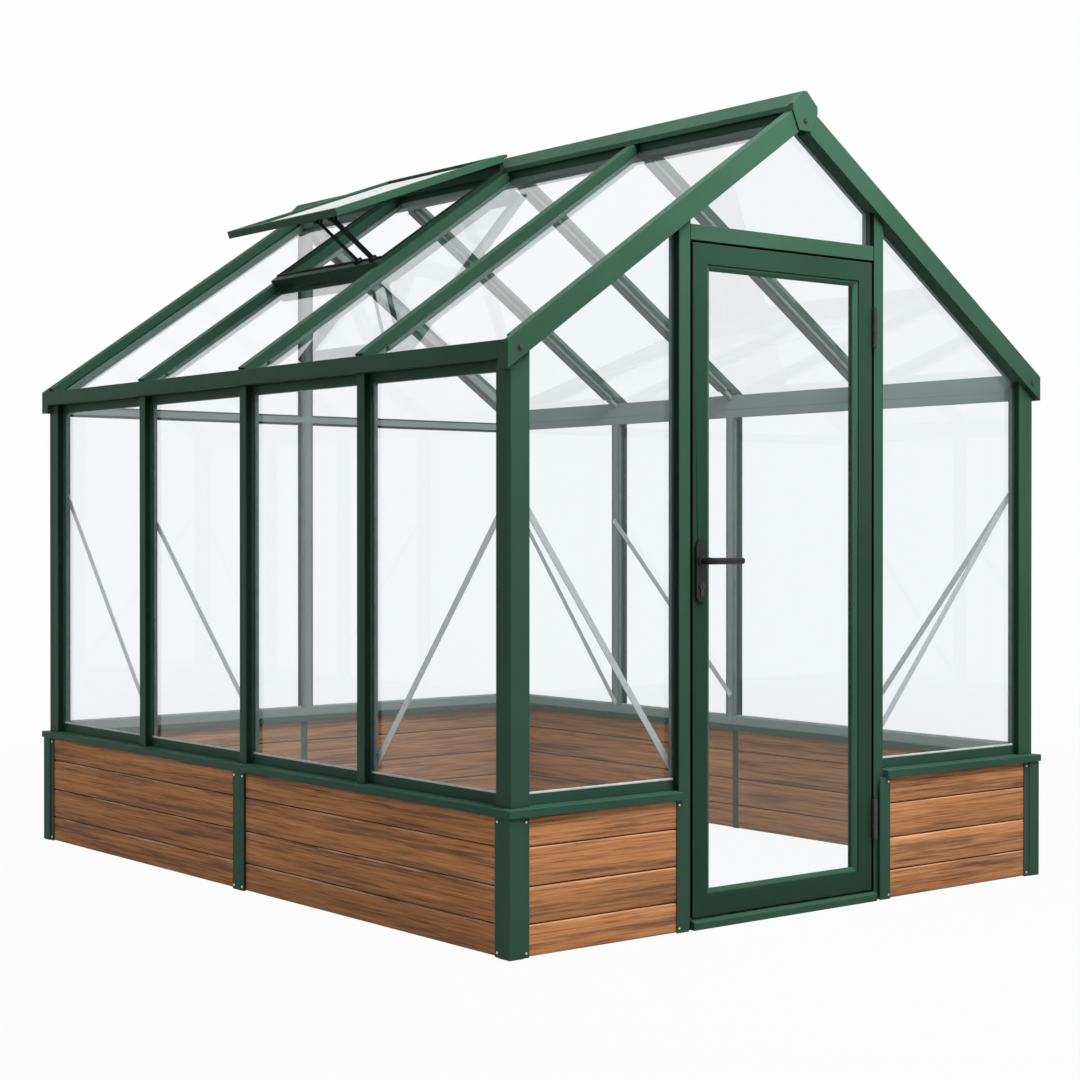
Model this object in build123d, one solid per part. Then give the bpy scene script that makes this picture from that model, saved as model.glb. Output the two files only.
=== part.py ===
from build123d import *
import os
from math import atan2, cos, degrees, radians, sin, tan

# A glazed garden house: an aluminium frame on a low boarded wall, with a
# hinged door in the front gable and one roof vent propped open.
# Millimetres, +Z up, +X right, +Y to the back, origin at the middle of the
# ground plan. The door is in the front wall, at -Y.

# Main sizes
base_width = 2062.0          # over the faces of the low wall
base_height = 350.0          # low wall, up to the underside of its cap
eaves_height = 1530.0        # top edge of the gutter
ridge_height = 2245.0        # where the two planes of the roof edge meet
pane_width = 610.0           # a side pane of glass
side_bays = 4                # panes along each side
frame_inset = 16.0           # glazed frame set back from the low wall's face
eaves_overhang = 5.0         # gutter stands out past the low wall's face

# Glazing bar: a deep outer cap, a web between two panes and an inner body
cap_width = 36.0
cap_thickness = 28.0
bar_web = 8.0
bar_body = 22.0
bar_depth = 46.0             # face of the cap to the inner face
glass_thickness = 4.0
glass_clearance = 2.0
corner_face = 60.0           # each face of an upper corner post
post_groove = 3.0            # line along the side face of a corner post
groove_place = 18.0          # from the post's corner to that line

# Low wall
board_thickness = 26.0
board_seam_shares = (0.232, 0.5, 0.782)
groove_depth = 3.0
groove_width = 6.0
post_body = 44.0             # square body of a base corner post
post_flange = 22.0           # lip that covers the ends of the boards
flange_recess = 4.0
flange_thickness = 4.0
mid_post_face = 62.0
mid_post_web = 28.0
sill_thickness = 22.0
sill_overhang = 5.0
sill_fall = 2.0              # drop of the weathered edge of the cap

# Channels that hold the lower and upper edges of the glass
rail_height = 28.0
rail_recess = 25.0           # face of the bars to the face of a channel
rail_floor = 8.0             # between the glass and the back of the channel

# Roof edge, gutter and ridge
roof_drop = 1.0              # caps of the roof bars below the bargeboard's edge
board_face = 60.0            # width of the bargeboard, square to the slope
rafter_web = 10.0
rafter_lap = 18.0            # lip over the edge of the roof glass
gutter_height = 45.0
gutter_wall = 4.0
eaves_cap_length = 26.0      # block that closes each end of a gutter
bar_end_setback = 10.0       # square-cut bar ends, inside the gutter's lip
pane_end_setback = 34.0
ridge_body = 44.0
ridge_cap = 84.0
ridge_flat = 12.0
ridge_rise = 27.0            # top of the ridge capping over the roof planes
ridge_edge = 15.0
end_cap_width = 96.0
end_cap_thickness = 5.0
end_cap_edge = 21.0
end_cap_foot = 48.0
end_cap_drop = 110.0         # top of the ridge to the foot of its end cap

# Doorway
door_offset = -56.0          # middle of the doorway from the middle of the gable
opening_width = 711.0
lintel_room = 17.1           # bargeboard down to the frame over the door, at its corner
lintel_height = 42.0
jamb_width = 41.0
edge_lap = 12.0              # frame over the edge of a gable pane
jamb_trim = 18.0             # strip beside the jamb that covers the board ends
threshold_height = 25.0
threshold_nose = 6.0

# Door leaf
door_gap = 6.0
leaf_thickness = 36.0
stile_width = 55.0
bead_width = 16.0
bead_slope = 10.0
bead_recess = 4.0
bead_edge = 5.0
leaf_lip = 8.0
leaf_glass_depth = 16.0      # face of the leaf to the glass

# Lever handle and lock
lever_height = 978.0
plate_height = 165.0
plate_width = 38.0
plate_thickness = 8.0
plate_above_lever = 56.0     # lever axis to the top of the plate
lock_drop = 68.0             # lever axis to the middle of the lock
lock_radius = 8.5
lock_width = 10.0
lock_height = 33.0
lock_proud = 3.0
spindle_radius = 5.0
spindle_room = 0.06
stile_bore_room = 3.0
neck_radius = 7.0
neck_room = 0.4
lever_standoff = 40.0        # plate to the middle of the grip
lever_length = 115.0
lever_radius = 8.0
lever_chamfer = 2.5

# Door hinges
hinge_foot_inset = 202.0     # foot of the leaf to the middle of the lower hinge
hinge_head_inset = 185.0     # head of the leaf to the middle of the upper hinge
hinge_length = 110.0
hinge_radius = 7.0
hinge_standoff = 9.0         # face of the frame to the hinge axis
hinge_pin_radius = 3.0
pin_room = 0.06
knuckle_room = 0.5
hinge_plate = 30.0           # depth of a hinge plate in the gap beside the leaf
hinge_plate_thickness = 2.4

# Roof vent, in the bay behind the middle of the left slope
vent_length = 688.0
vent_lap = 12.0              # sash past the middle of the bar at each side
vent_angle = 14.6            # propped open, in degrees
vent_rise = 36.0             # hinge rail of the vent over the roof bars
vent_rail = 16.0             # thickness of that rail
sash_rail = 34.0
sash_thickness = 24.0
sash_lip = 9.0
sash_glass_depth = 5.0
sash_clearance = 1.0
curb_shortfall = 100.0       # curb above the lower edge of the closed sash
curb_body = 34.0
curb_cap = 40.0
curb_rise = 12.0             # curb over the caps of the roof bars
curb_strip = 14.0            # width of its side strips, along the bars
stay_shares = (0.07, 0.2)    # across the vent, from its front side
stay_widths = (16.0, 9.0)
stay_thickness = 7.0
stay_foot = 26.0
stay_foot_height = 12.0

# Flat braces on the inner faces of the frame
brace_width = 18.0
brace_thickness = 3.0
brace_end = 9.0              # past the point where it is fixed
brace_head_rise = 800.0      # fixing points over the cap of the low wall
brace_foot_rise = 39.0
inner_head_rise = 718.0
inner_foot_rise = 108.0

overrun = 50.0               # how far a cutter reaches past what it cuts

# Plan of the frame
bay_pitch = pane_width + 2 * glass_clearance + bar_web
frame_width = base_width - 2 * frame_inset
frame_length = side_bays * bay_pitch - bar_web + 2 * bar_depth
base_length = frame_length + 2 * frame_inset
base_x = base_width / 2
base_y = base_length / 2
frame_x = frame_width / 2
frame_y = frame_length / 2
inner_x = frame_x - bar_depth
inner_y = frame_y - bar_depth
sill_top = base_height + sill_thickness
gutter_base = eaves_height - gutter_height
brace_head = sill_top + brace_head_rise
brace_foot = sill_top + brace_foot_rise
inner_brace_head = sill_top + inner_head_rise
inner_brace_foot = sill_top + inner_foot_rise
glass_depth = cap_thickness
rail_face = cap_thickness + glass_thickness
bar_places = [(k + 1 - side_bays / 2) * bay_pitch for k in range(side_bays - 1)]

# Slope of the roof, with depths measured square to the plane of its edge
eaves_x = base_x + eaves_overhang
pitch = atan2(ridge_height - eaves_height, eaves_x)
roof_glass_top = roof_drop + cap_thickness
roof_glass_foot = roof_glass_top + glass_thickness
roof_body_foot = roof_drop + bar_depth
gable_slot = board_face - edge_lap
lip_x = eaves_x - gutter_wall
bar_end = (lip_x - bar_end_setback + roof_drop * sin(pitch)) / cos(pitch)
pane_end = (lip_x - pane_end_setback + roof_glass_top * sin(pitch)) / cos(pitch)
ridge_side = ridge_body / 2

# Doorway and door leaf
door_left = door_offset - opening_width / 2
door_right = door_offset + opening_width / 2
door_corner = max(abs(door_left), abs(door_right))
lintel_fall = door_corner * tan(pitch) + board_face / cos(pitch) + lintel_room
lintel_head = ridge_height - lintel_fall
lintel_bottom = lintel_head - lintel_height
leaf_left = door_left + door_gap
leaf_right = door_right - door_gap
leaf_foot = threshold_height + door_gap
leaf_head = lintel_bottom - door_gap
leaf_face = -frame_y
leaf_back = leaf_face + leaf_thickness
lever_x = leaf_left + stile_width / 2
hinge_x = door_right - door_gap / 2
hinge_y = leaf_face - hinge_standoff
hinge_heights = (leaf_foot + hinge_foot_inset, leaf_head - hinge_head_inset)

LEFT = -1
RIGHT = 1
FRONT = -1
BACK = 1


def prism(points, direction, length):
    """A closed outline carried straight along a direction."""
    return extrude(make_face(Polyline(*points, close=True)), amount=length, dir=direction)


def block(x_span, y_span, z_span):
    """A straight block between pairs of places along X, Y and Z."""
    sizes = [max(span) - min(span) for span in (x_span, y_span, z_span)]
    centre = [(max(span) + min(span)) / 2 for span in (x_span, y_span, z_span)]
    return Pos(*centre) * Box(*sizes)


def upright(outline, foot, head):
    """A plan outline carried up from one height to another."""
    return prism([(x, y, foot) for x, y in outline], (0, 0, 1), head - foot)


def along_y(outline, y_from, y_to):
    """An outline in X and Z carried along Y."""
    return prism([(x, y_from, z) for x, z in outline], (0, 1, 0), y_to - y_from)


def along_x(outline, x_from, x_to):
    """An outline in Y and Z carried along X."""
    return prism([(x_from, y, z) for y, z in outline], (1, 0, 0), x_to - x_from)


def joined(pieces):
    """Several solids that don't touch, kept together as one piece."""
    return Compound(children=[solid for piece in pieces for solid in piece.solids()])


def roof_height(x, depth):
    """Height at a distance from the ridge, at a depth below the roof edge."""
    return ridge_height - abs(x) * tan(pitch) - depth / cos(pitch)


def roof_point(side, run, depth, y):
    """A point by its run down the slope and its depth square to the slope."""
    reach = run * cos(pitch) - depth * sin(pitch)
    return (side * reach, y, ridge_height - run * sin(pitch) - depth * cos(pitch))


def down_slope(side):
    """Direction down a slope of the roof."""
    return (side * cos(pitch), 0, -sin(pitch))


def gable_shape(depth, head):
    """The gable's own shape up to a level head, through the whole house."""
    shoulder = (ridge_height - depth / cos(pitch) - head) / tan(pitch)
    outline = [
        (-eaves_x, 0),
        (eaves_x, 0),
        (eaves_x, roof_height(eaves_x, depth)),
        (shoulder, head),
        (-shoulder, head),
        (-eaves_x, roof_height(eaves_x, depth)),
    ]
    return along_y(outline, -base_y - overrun, base_y + overrun)


def bar_section(face, middle, inward):
    """Plan points of a glazing bar: (along the wall, into the wall)."""
    steps = [
        (cap_width, 0),
        (cap_width, cap_thickness),
        (bar_web, cap_thickness),
        (bar_web, rail_face),
        (bar_body, rail_face),
        (bar_body, bar_depth),
    ]
    near = [(middle + width / 2, face + inward * depth) for width, depth in steps]
    far = [(middle - width / 2, face + inward * depth) for width, depth in reversed(steps)]
    return near + far


# Low wall
def base_corner_post(side, end):
    """Square corner post with a set-back lip along each wall."""
    lip_face = flange_recess
    lip_back = flange_recess + flange_thickness
    reach = post_body + post_flange
    section = [
        (0, 0),
        (post_body, 0),
        (post_body, lip_face),
        (reach, lip_face),
        (reach, lip_back),
        (post_body, lip_back),
        (post_body, post_body),
        (lip_back, post_body),
        (lip_back, reach),
        (lip_face, reach),
        (lip_face, post_body),
        (0, post_body),
    ]
    outline = [(side * (base_x - u), end * (base_y - v)) for u, v in section]
    return upright(outline, 0, base_height)


def mid_post_section():
    """Face strip and web of a post between two boarded panels."""
    strip = flange_recess + flange_thickness
    back = strip + board_thickness
    half_face = mid_post_face / 2
    half_web = mid_post_web / 2
    return [
        (-half_face, 0),
        (half_face, 0),
        (half_face, strip),
        (half_web, strip),
        (half_web, back),
        (-half_web, back),
        (-half_web, strip),
        (-half_face, strip),
    ]


def base_mid_posts():
    """Posts at the middle of both sides and of the back."""
    section = mid_post_section()
    posts = []
    for side in (LEFT, RIGHT):
        outline = [(side * (base_x - v), u) for u, v in section]
        posts.append(upright(outline, 0, base_height))
    outline = [(u, base_y - v) for u, v in section]
    posts.append(upright(outline, 0, base_height))
    return joined(posts)


def board_section():
    """Thickness and height points of a stack of grooved boards."""
    face = flange_recess + flange_thickness
    back = face + board_thickness
    half = groove_width / 2
    outer = [(face, 0)]
    inner = [(back, 0)]
    for share in board_seam_shares:
        seam = share * base_height
        outer += [(face, seam - half), (face + groove_depth, seam), (face, seam + half)]
        inner += [(back, seam - half), (back - groove_depth, seam), (back, seam + half)]
    outer.append((face, base_height))
    inner.append((back, base_height))
    return outer + inner[::-1]


def base_panels():
    """Grooved boards between the posts of the low wall."""
    section = board_section()
    panels = []
    side_runs = [(-base_y + post_body, -mid_post_web / 2), (mid_post_web / 2, base_y - post_body)]
    for side in (LEFT, RIGHT):
        outline = [(side * (base_x - u), z) for u, z in section]
        panels += [along_y(outline, *run) for run in side_runs]
    back_runs = [(-base_x + post_body, -mid_post_web / 2), (mid_post_web / 2, base_x - post_body)]
    outline = [(base_y - u, z) for u, z in section]
    panels += [along_x(outline, *run) for run in back_runs]
    front_runs = [
        (-base_x + post_body, door_left - jamb_width),
        (door_right + jamb_width, base_x - post_body),
    ]
    outline = [(u - base_y, z) for u, z in section]
    panels += [along_x(outline, *run) for run in front_runs]
    return joined(panels)


def sill_section():
    """Cap of the low wall, weathered towards its outer edge."""
    return [
        (-sill_overhang, base_height),
        (-sill_overhang, sill_top - sill_fall),
        (frame_inset, sill_top),
        (frame_inset + bar_depth, sill_top),
        (frame_inset + bar_depth, base_height),
    ]


def sill_side(side):
    """Cap along a side wall, mitred at both ends."""
    outline = [(side * (base_x - u), z) for u, z in sill_section()]
    bar = along_y(outline, -base_y - sill_overhang, base_y + sill_overhang)
    out_x = base_x + sill_overhang
    out_y = base_y + sill_overhang
    reach = sill_overhang + frame_inset + bar_depth
    plan = [
        (side * out_x, -out_y),
        (side * out_x, out_y),
        (side * (out_x - reach), out_y - reach),
        (side * (out_x - reach), reach - out_y),
    ]
    return bar & upright(plan, base_height - overrun, sill_top + overrun)


def sill_end(end):
    """Cap along a gable wall, mitred at both ends."""
    outline = [(end * (base_y - u), z) for u, z in sill_section()]
    bar = along_x(outline, -base_x - sill_overhang, base_x + sill_overhang)
    out_x = base_x + sill_overhang
    out_y = base_y + sill_overhang
    reach = sill_overhang + frame_inset + bar_depth
    plan = [
        (-out_x, end * out_y),
        (out_x, end * out_y),
        (out_x - reach, end * (out_y - reach)),
        (reach - out_x, end * (out_y - reach)),
    ]
    return bar & upright(plan, base_height - overrun, sill_top + overrun)


def sills_front():
    """Cap of the front wall, cut out for the doorway."""
    doorway = block(
        (door_left - jamb_width, door_right + jamb_width),
        (-base_y - overrun, -inner_y + overrun),
        (base_height - overrun, sill_top + overrun),
    )
    return joined([sill_end(FRONT) - doorway])


# Glazed walls
def corner_posts():
    """Upper corner posts: a square body with a cap along both faces, up to the rafter."""
    half_groove = post_groove / 2
    section = [
        (0, 0),
        (corner_face, 0),
        (corner_face, cap_thickness),
        (bar_depth, cap_thickness),
        (bar_depth, bar_depth),
        (cap_thickness, bar_depth),
        (cap_thickness, corner_face),
        (0, corner_face),
        (0, groove_place + half_groove),
        (half_groove, groove_place),
        (0, groove_place - half_groove),
    ]
    posts = []
    for side in (LEFT, RIGHT):
        for end in (FRONT, BACK):
            outline = [(side * (frame_x - u), end * (frame_y - v)) for u, v in section]
            post = upright(outline, sill_top, gutter_base)
            ear = block(
                (side * inner_x, side * (frame_x - corner_face)),
                (end * frame_y, end * (frame_y - cap_thickness)),
                (gutter_base, ridge_height),
            )
            posts.append(post + (ear & gable_shape(board_face, ridge_foot)))
    return joined(posts)


def side_bars(side):
    """Upright glazing bars of a side wall."""
    bars = []
    for place in bar_places:
        section = bar_section(side * frame_x, place, -side)
        bars.append(upright([(x, y) for y, x in section], sill_top, gutter_base))
    return joined(bars)


def bay_spans(edge, stops, half_stop):
    """Clear spans between the two edges and the stops between them."""
    starts = [-edge] + [stop + half_stop for stop in stops]
    ends = [stop - half_stop for stop in stops] + [edge]
    return list(zip(starts, ends))


channel_lip = [
    (rail_recess, 0),
    (rail_recess, rail_height),
    (glass_depth, rail_height),
    (glass_depth, rail_floor),
    (rail_face, rail_floor),
    (rail_face, 0),
]
channel_back = [
    (rail_face, 0),
    (rail_face, rail_height),
    (bar_depth, rail_height),
    (bar_depth, 0),
]


def channel(carry, place, lip_span, back_span):
    """Channel for the edge of the glass: a lip between the caps, a back between the bodies."""
    lip = carry([place(u, v) for u, v in channel_lip], *lip_span)
    return lip + carry([place(u, v) for u, v in channel_back], *back_span)


def wall_rails(side):
    """Channels at the foot and the head of the side glass, bay by bay."""
    def at_foot(u, v):
        return (side * (frame_x - u), sill_top + v)

    def at_head(u, v):
        return (side * (frame_x - u), gutter_base - v)

    lip_spans = bay_spans(frame_y - corner_face, bar_places, cap_width / 2)
    back_spans = bay_spans(inner_y, bar_places, bar_body / 2)
    rails = []
    for spans in zip(lip_spans, back_spans):
        rails.append(channel(along_y, at_foot, *spans))
        rails.append(channel(along_y, at_head, *spans))
    return joined(rails)


def back_post():
    """Middle glazing bar of the back gable, up to the ridge."""
    section = bar_section(frame_y, 0, -1)
    return upright(section, sill_top, ridge_foot)


def back_cross_rails():
    """Level glazing bars of the back gable at the eaves, on both sides of its post."""
    middle = gutter_base - cap_width / 2
    section = [(y, z) for z, y in bar_section(frame_y, middle, -1)]
    rail = along_x(section, -inner_x, inner_x)
    return rail - back_post() - corner_posts()


def gable_rails():
    """Channels at the foot of the gable glass, and the cross rail of the back gable."""
    def at_front(u, v):
        return (u - frame_y, sill_top + v)

    def at_back(u, v):
        return (frame_y - u, sill_top + v)

    edge = frame_x - corner_face
    body = jamb_width - edge_lap
    front_lips = [(-edge, door_left - jamb_width), (door_right + jamb_width, edge)]
    front_backs = [(-inner_x, door_left - body), (door_right + body, inner_x)]
    back_lips = bay_spans(edge, [0], cap_width / 2)
    back_backs = bay_spans(inner_x, [0], bar_body / 2)
    rails = [channel(along_x, at_front, *spans) for spans in zip(front_lips, front_backs)]
    rails += [channel(along_x, at_back, *spans) for spans in zip(back_lips, back_backs)]
    rails.append(back_cross_rails())
    return joined(rails)


# Doorway
def door_jamb(side):
    """Jamb from the ground to the rafter, grooved for the pane over the door."""
    edge = door_left if side == LEFT else door_right
    body = jamb_width - edge_lap
    section = [
        (0, 0),
        (jamb_width, 0),
        (jamb_width, cap_thickness),
        (body, cap_thickness),
        (body, bar_depth),
        (0, bar_depth),
    ]
    outline = [(edge + side * u, v - frame_y) for u, v in section]
    post = upright(outline, 0, ridge_height) & gable_shape(board_face, ridge_foot)
    groove = block(
        (edge - side * overrun, edge + side * edge_lap),
        (glass_depth - frame_y, rail_face - frame_y),
        (lintel_head - edge_lap, ridge_height),
    )
    foot_filler = block(
        (edge + side * body, edge + side * jamb_width),
        (cap_thickness - frame_y, bar_depth - frame_y),
        (0, base_height),
    )
    lip_face = flange_recess - base_y
    trim = block(
        (edge + side * (jamb_width - overrun / 2), edge + side * (jamb_width + jamb_trim)),
        (lip_face, lip_face + flange_thickness),
        (0, base_height),
    )
    trim_side = block(
        (edge + side * body, edge + side * jamb_width),
        (lip_face, cap_thickness - frame_y),
        (0, base_height),
    )
    return (post - groove) + foot_filler + trim + trim_side


def door_lintel():
    """Head of the doorway, with a raised cap in front of the pane above."""
    section = [
        (-frame_y, lintel_bottom),
        (-frame_y, lintel_head),
        (cap_thickness - frame_y, lintel_head),
        (cap_thickness - frame_y, lintel_head - edge_lap),
        (-inner_y, lintel_head - edge_lap),
        (-inner_y, lintel_bottom),
    ]
    return along_x(section, door_left, door_right)


def threshold():
    """Low bar between the feet of the jambs, with a sloped nose."""
    section = [
        (-base_y, 0),
        (-base_y, threshold_height - threshold_nose),
        (threshold_nose - base_y, threshold_height),
        (-inner_y, threshold_height),
        (-inner_y, 0),
    ]
    return along_x(section, door_left, door_right)


# Roof
ridge_foot = roof_height(ridge_side, roof_body_foot)


def ridge_outline():
    """Cross-section of the ridge: a capping over both slopes and a body below."""
    half_cap = ridge_cap / 2
    half_flat = ridge_flat / 2
    edge_foot = roof_height(half_cap, roof_drop)
    right = [
        (half_flat, ridge_height + ridge_rise),
        (half_cap, edge_foot + ridge_edge),
        (half_cap, edge_foot),
        (ridge_side, roof_height(ridge_side, roof_drop)),
        (ridge_side, ridge_foot),
    ]
    return right + [(-x, z) for x, z in reversed(right)]


def ridge():
    """Ridge beam between the bargeboards."""
    return along_y(ridge_outline(), -frame_y, frame_y)


def ridge_end_caps():
    """Stepped plate over the end of the ridge, where two bargeboards meet."""
    half_cap = end_cap_width / 2
    half_flat = ridge_flat / 2
    half_foot = end_cap_foot / 2
    top = ridge_height + ridge_rise
    shoulder = roof_height(half_cap, 0) + end_cap_edge
    plate = [
        (half_flat, top),
        (half_cap, shoulder),
        (half_cap, shoulder - end_cap_edge),
        (half_foot, top - end_cap_drop),
    ]
    outline = plate + [(-x, z) for x, z in reversed(plate)]
    crown = plate[:2] + [(half_cap, roof_height(half_cap, 0)), (0, ridge_height)]
    hood = crown + [(-x, z) for x, z in reversed(crown[:3])]
    caps = []
    for end in (FRONT, BACK):
        faces = sorted((end * base_y, end * (base_y + end_cap_thickness)))
        depths = sorted((end * frame_y, end * base_y))
        caps.append(along_y(outline, *faces) + along_y(hood, *depths))
    return joined(caps)


def gable_rafter(side, end):
    """Bargeboard with the seat and lip that hold the edge of the roof glass."""
    corners = [(0, 0), (eaves_x, 0), (eaves_x, board_face), (0, board_face)]
    outline = [(side * x, roof_height(x, depth)) for x, depth in corners]
    board = along_y(outline, *sorted((end * base_y, end * frame_y)))
    steps = [
        (0, roof_drop),
        (rafter_lap, roof_drop),
        (rafter_lap, roof_glass_top),
        (rafter_web, roof_glass_top),
        (rafter_web, roof_glass_foot),
        (bar_depth, roof_glass_foot),
        (bar_depth, board_face),
        (rail_face, board_face),
        (rail_face, gable_slot),
        (glass_depth, gable_slot),
        (glass_depth, board_face),
        (0, board_face),
    ]
    start = [roof_point(side, 0, depth, end * (frame_y - u)) for u, depth in steps]
    seat = prism(start, down_slope(side), frame_x / cos(pitch))
    return board + (seat & roof_room(side) - eaves_notch(side))


def roof_room(side):
    """The space of one slope outside the ridge's body."""
    return block(
        (side * ridge_side, side * (eaves_x + overrun)),
        (-base_y - overrun, base_y + overrun),
        (0, ridge_height + ridge_height),
    )


def eaves_notch(side):
    """What is cut from the body of a rafter where it meets the gutter."""
    corners = [
        (inner_x, roof_glass_foot),
        (eaves_x + overrun, roof_glass_foot),
        (eaves_x + overrun, board_face + overrun),
        (inner_x, board_face + overrun),
    ]
    outline = [(side * x, roof_height(x, depth)) for x, depth in corners]
    return along_y(outline, -base_y - overrun, base_y + overrun)


def roof_bar(side, place):
    """Glazing bar of a slope, from the ridge to its square end over the gutter."""
    section = bar_section(roof_drop, place, 1)
    start = [roof_point(side, 0, depth, y) for y, depth in section]
    bar = prism(start, down_slope(side), bar_end)
    return (bar & roof_room(side)) - eaves_notch(side)


def roof_bars(side):
    """All glazing bars of one slope."""
    return joined([roof_bar(side, place) for place in bar_places])


def gutter(side):
    """Eaves beam: a trough whose inner wall carries the foot of the roof glass."""
    inside = inner_x + gutter_wall
    section = [
        (eaves_x, gutter_base),
        (eaves_x, eaves_height),
        (lip_x, eaves_height),
        (lip_x, gutter_base + gutter_wall),
        (inside, gutter_base + gutter_wall),
        (inside, roof_height(inside, roof_glass_foot)),
        (inner_x, roof_height(inner_x, roof_glass_foot)),
        (inner_x, gutter_base),
    ]
    trough = along_y([(side * x, z) for x, z in section], -frame_y, frame_y)
    return trough - eaves_end_cap(side, FRONT) - eaves_end_cap(side, BACK)


def eaves_end_cap(side, end):
    """Block behind the foot of a bargeboard, over the end of a gutter."""
    return block(
        (side * frame_x, side * eaves_x),
        (end * frame_y, end * (frame_y - eaves_cap_length)),
        (roof_height(eaves_x, board_face), eaves_height),
    )


# Glass
def side_glass(side):
    """Panes of a side wall."""
    faces = (side * (frame_x - glass_depth), side * (frame_x - rail_face))
    edge_room = rail_floor + glass_clearance
    heights = (sill_top + edge_room, gutter_base - edge_room)
    room = bar_web / 2 + glass_clearance
    spans = bay_spans(inner_y, bar_places, room)
    spans[0] = (spans[0][0] + glass_clearance, spans[0][1])
    spans[-1] = (spans[-1][0], spans[-1][1] - glass_clearance)
    return joined([block(faces, span, heights) for span in spans])


def roof_pane(side, span, top_run):
    """One pane of a slope between two places along Y."""
    corners = [
        (top_run, roof_glass_top),
        (pane_end, roof_glass_top),
        (pane_end, roof_glass_foot),
        (top_run, roof_glass_foot),
    ]
    outline = [roof_point(side, run, depth, span[0]) for run, depth in corners]
    return prism(outline, (0, 1, 0), span[1] - span[0]) & roof_room(side)


def roof_glass(side):
    """Panes of a slope, with a shorter one below the vent."""
    room = bar_web / 2 + glass_clearance
    edge = frame_y - rafter_web - glass_clearance
    panes = []
    for bay, span in enumerate(bay_spans(edge, bar_places, room)):
        below_vent = side == LEFT and bay == vent_bay
        panes.append(roof_pane(side, span, vent_pane_run if below_vent else 0))
    return joined(panes)


def gable_pane(end, span, foot, head):
    """One pane of a gable, cut to the slope of the rafters."""
    faces = (end * (frame_y - glass_depth), end * (frame_y - rail_face))
    sheet = block(span, faces, (foot, ridge_height))
    return sheet & gable_shape(gable_slot + glass_clearance, head)


def front_glass():
    """Panes beside the door and the pane over it."""
    foot = sill_top + rail_floor + glass_clearance
    head = ridge_foot - glass_clearance
    body = jamb_width - edge_lap + glass_clearance
    edge = inner_x - glass_clearance
    over_door = lintel_head - edge_lap + glass_clearance
    lap = edge_lap - glass_clearance
    return joined([
        gable_pane(FRONT, (-edge, door_left - body), foot, head),
        gable_pane(FRONT, (door_right + body, edge), foot, head),
        gable_pane(FRONT, (door_left - lap, door_right + lap), over_door, head),
    ])


def back_glass():
    """Two panes under the back cross rail and two above it."""
    rail_middle = gutter_base - cap_width / 2
    room = bar_web / 2 + glass_clearance
    head = ridge_foot - glass_clearance
    panes = []
    for span in ((glass_clearance - inner_x, -room), (room, inner_x - glass_clearance)):
        faces = (frame_y - glass_depth, frame_y - rail_face)
        foot = sill_top + rail_floor + glass_clearance
        panes.append(block(span, faces, (foot, rail_middle - room)))
        panes.append(gable_pane(BACK, span, rail_middle + room, head))
    return joined(panes)


# Roof vent
vent_bay = side_bays // 2
vent_front = bar_places[vent_bay - 1]
vent_back = bar_places[vent_bay]
vent_middle = (vent_front + vent_back) / 2
vent_width = vent_back - vent_front + 2 * vent_lap
vent_pivot_x = ridge_cap / 2 + glass_clearance
vent_pivot_z = roof_height(vent_pivot_x, roof_drop) + vent_rise
vent_start = (vent_pivot_x + roof_drop * sin(pitch)) / cos(pitch)
curb_run = vent_start + vent_length - curb_shortfall - curb_body
vent_pane_run = curb_run + curb_body + glass_clearance


def vent_plane():
    """Plane of the open sash: X down the sash, Z out of the roof."""
    slope = pitch - radians(vent_angle)
    return Plane(
        origin=(LEFT * vent_pivot_x, vent_middle, vent_pivot_z),
        x_dir=(LEFT * cos(slope), 0, -sin(slope)),
        z_dir=(LEFT * sin(slope), 0, cos(slope)),
    )


def sash_block(inset, low, high):
    """A block of the sash, set in from its edges, in the plane of the sash."""
    long = vent_length - 2 * inset
    wide = vent_width - 2 * inset
    return Pos(vent_length / 2, 0, (low + high) / 2) * Box(long, wide, high - low)


def vent_sash():
    """Rebated frame of the vent, hung from the ridge and propped open."""
    seat = sash_thickness - sash_glass_depth - glass_thickness
    frame = sash_block(0, 0, sash_thickness)
    frame -= sash_block(sash_rail, -overrun, sash_thickness + overrun)
    frame -= sash_block(sash_rail - sash_lip, seat, sash_thickness + overrun)
    return vent_plane() * frame


def vent_glass():
    """Pane in the rebate of the sash."""
    seat = sash_thickness - sash_glass_depth - glass_thickness
    inset = sash_rail - sash_lip + sash_clearance
    return vent_plane() * sash_block(inset, seat, seat + glass_thickness)


def vent_hinge_rail():
    """Upright rail beside the ridge that carries the head of the vent."""
    near = ridge_cap / 2
    far = near + vent_rail
    slope = pitch - radians(vent_angle)
    outline = []
    for x in (near, far):
        outline.append((LEFT * x, roof_height(x, roof_drop)))
    for x in (far, near):
        outline.append((LEFT * x, vent_pivot_z - (x - vent_pivot_x) * tan(slope)))
    return along_y(outline, vent_front, vent_back)


def vent_curb():
    """Hinge rail at the ridge, and a cross rail under the lower edge of the vent."""
    steps = [
        (0, roof_drop - curb_rise),
        (curb_cap, roof_drop - curb_rise),
        (curb_cap, roof_glass_top),
        (curb_body, roof_glass_top),
        (curb_body, roof_glass_foot),
        (curb_cap, roof_glass_foot),
        (curb_cap, roof_body_foot),
        (0, roof_body_foot),
    ]
    outline = [roof_point(LEFT, curb_run + u, depth, vent_front) for u, depth in steps]
    rail = prism(outline, (0, 1, 0), vent_back - vent_front)
    rail -= roof_bar(LEFT, vent_front)
    rail -= roof_bar(LEFT, vent_back)
    for start in (vent_front, vent_back - curb_strip):
        rail += vent_strip(start)
    return rail + vent_hinge_rail()


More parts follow.
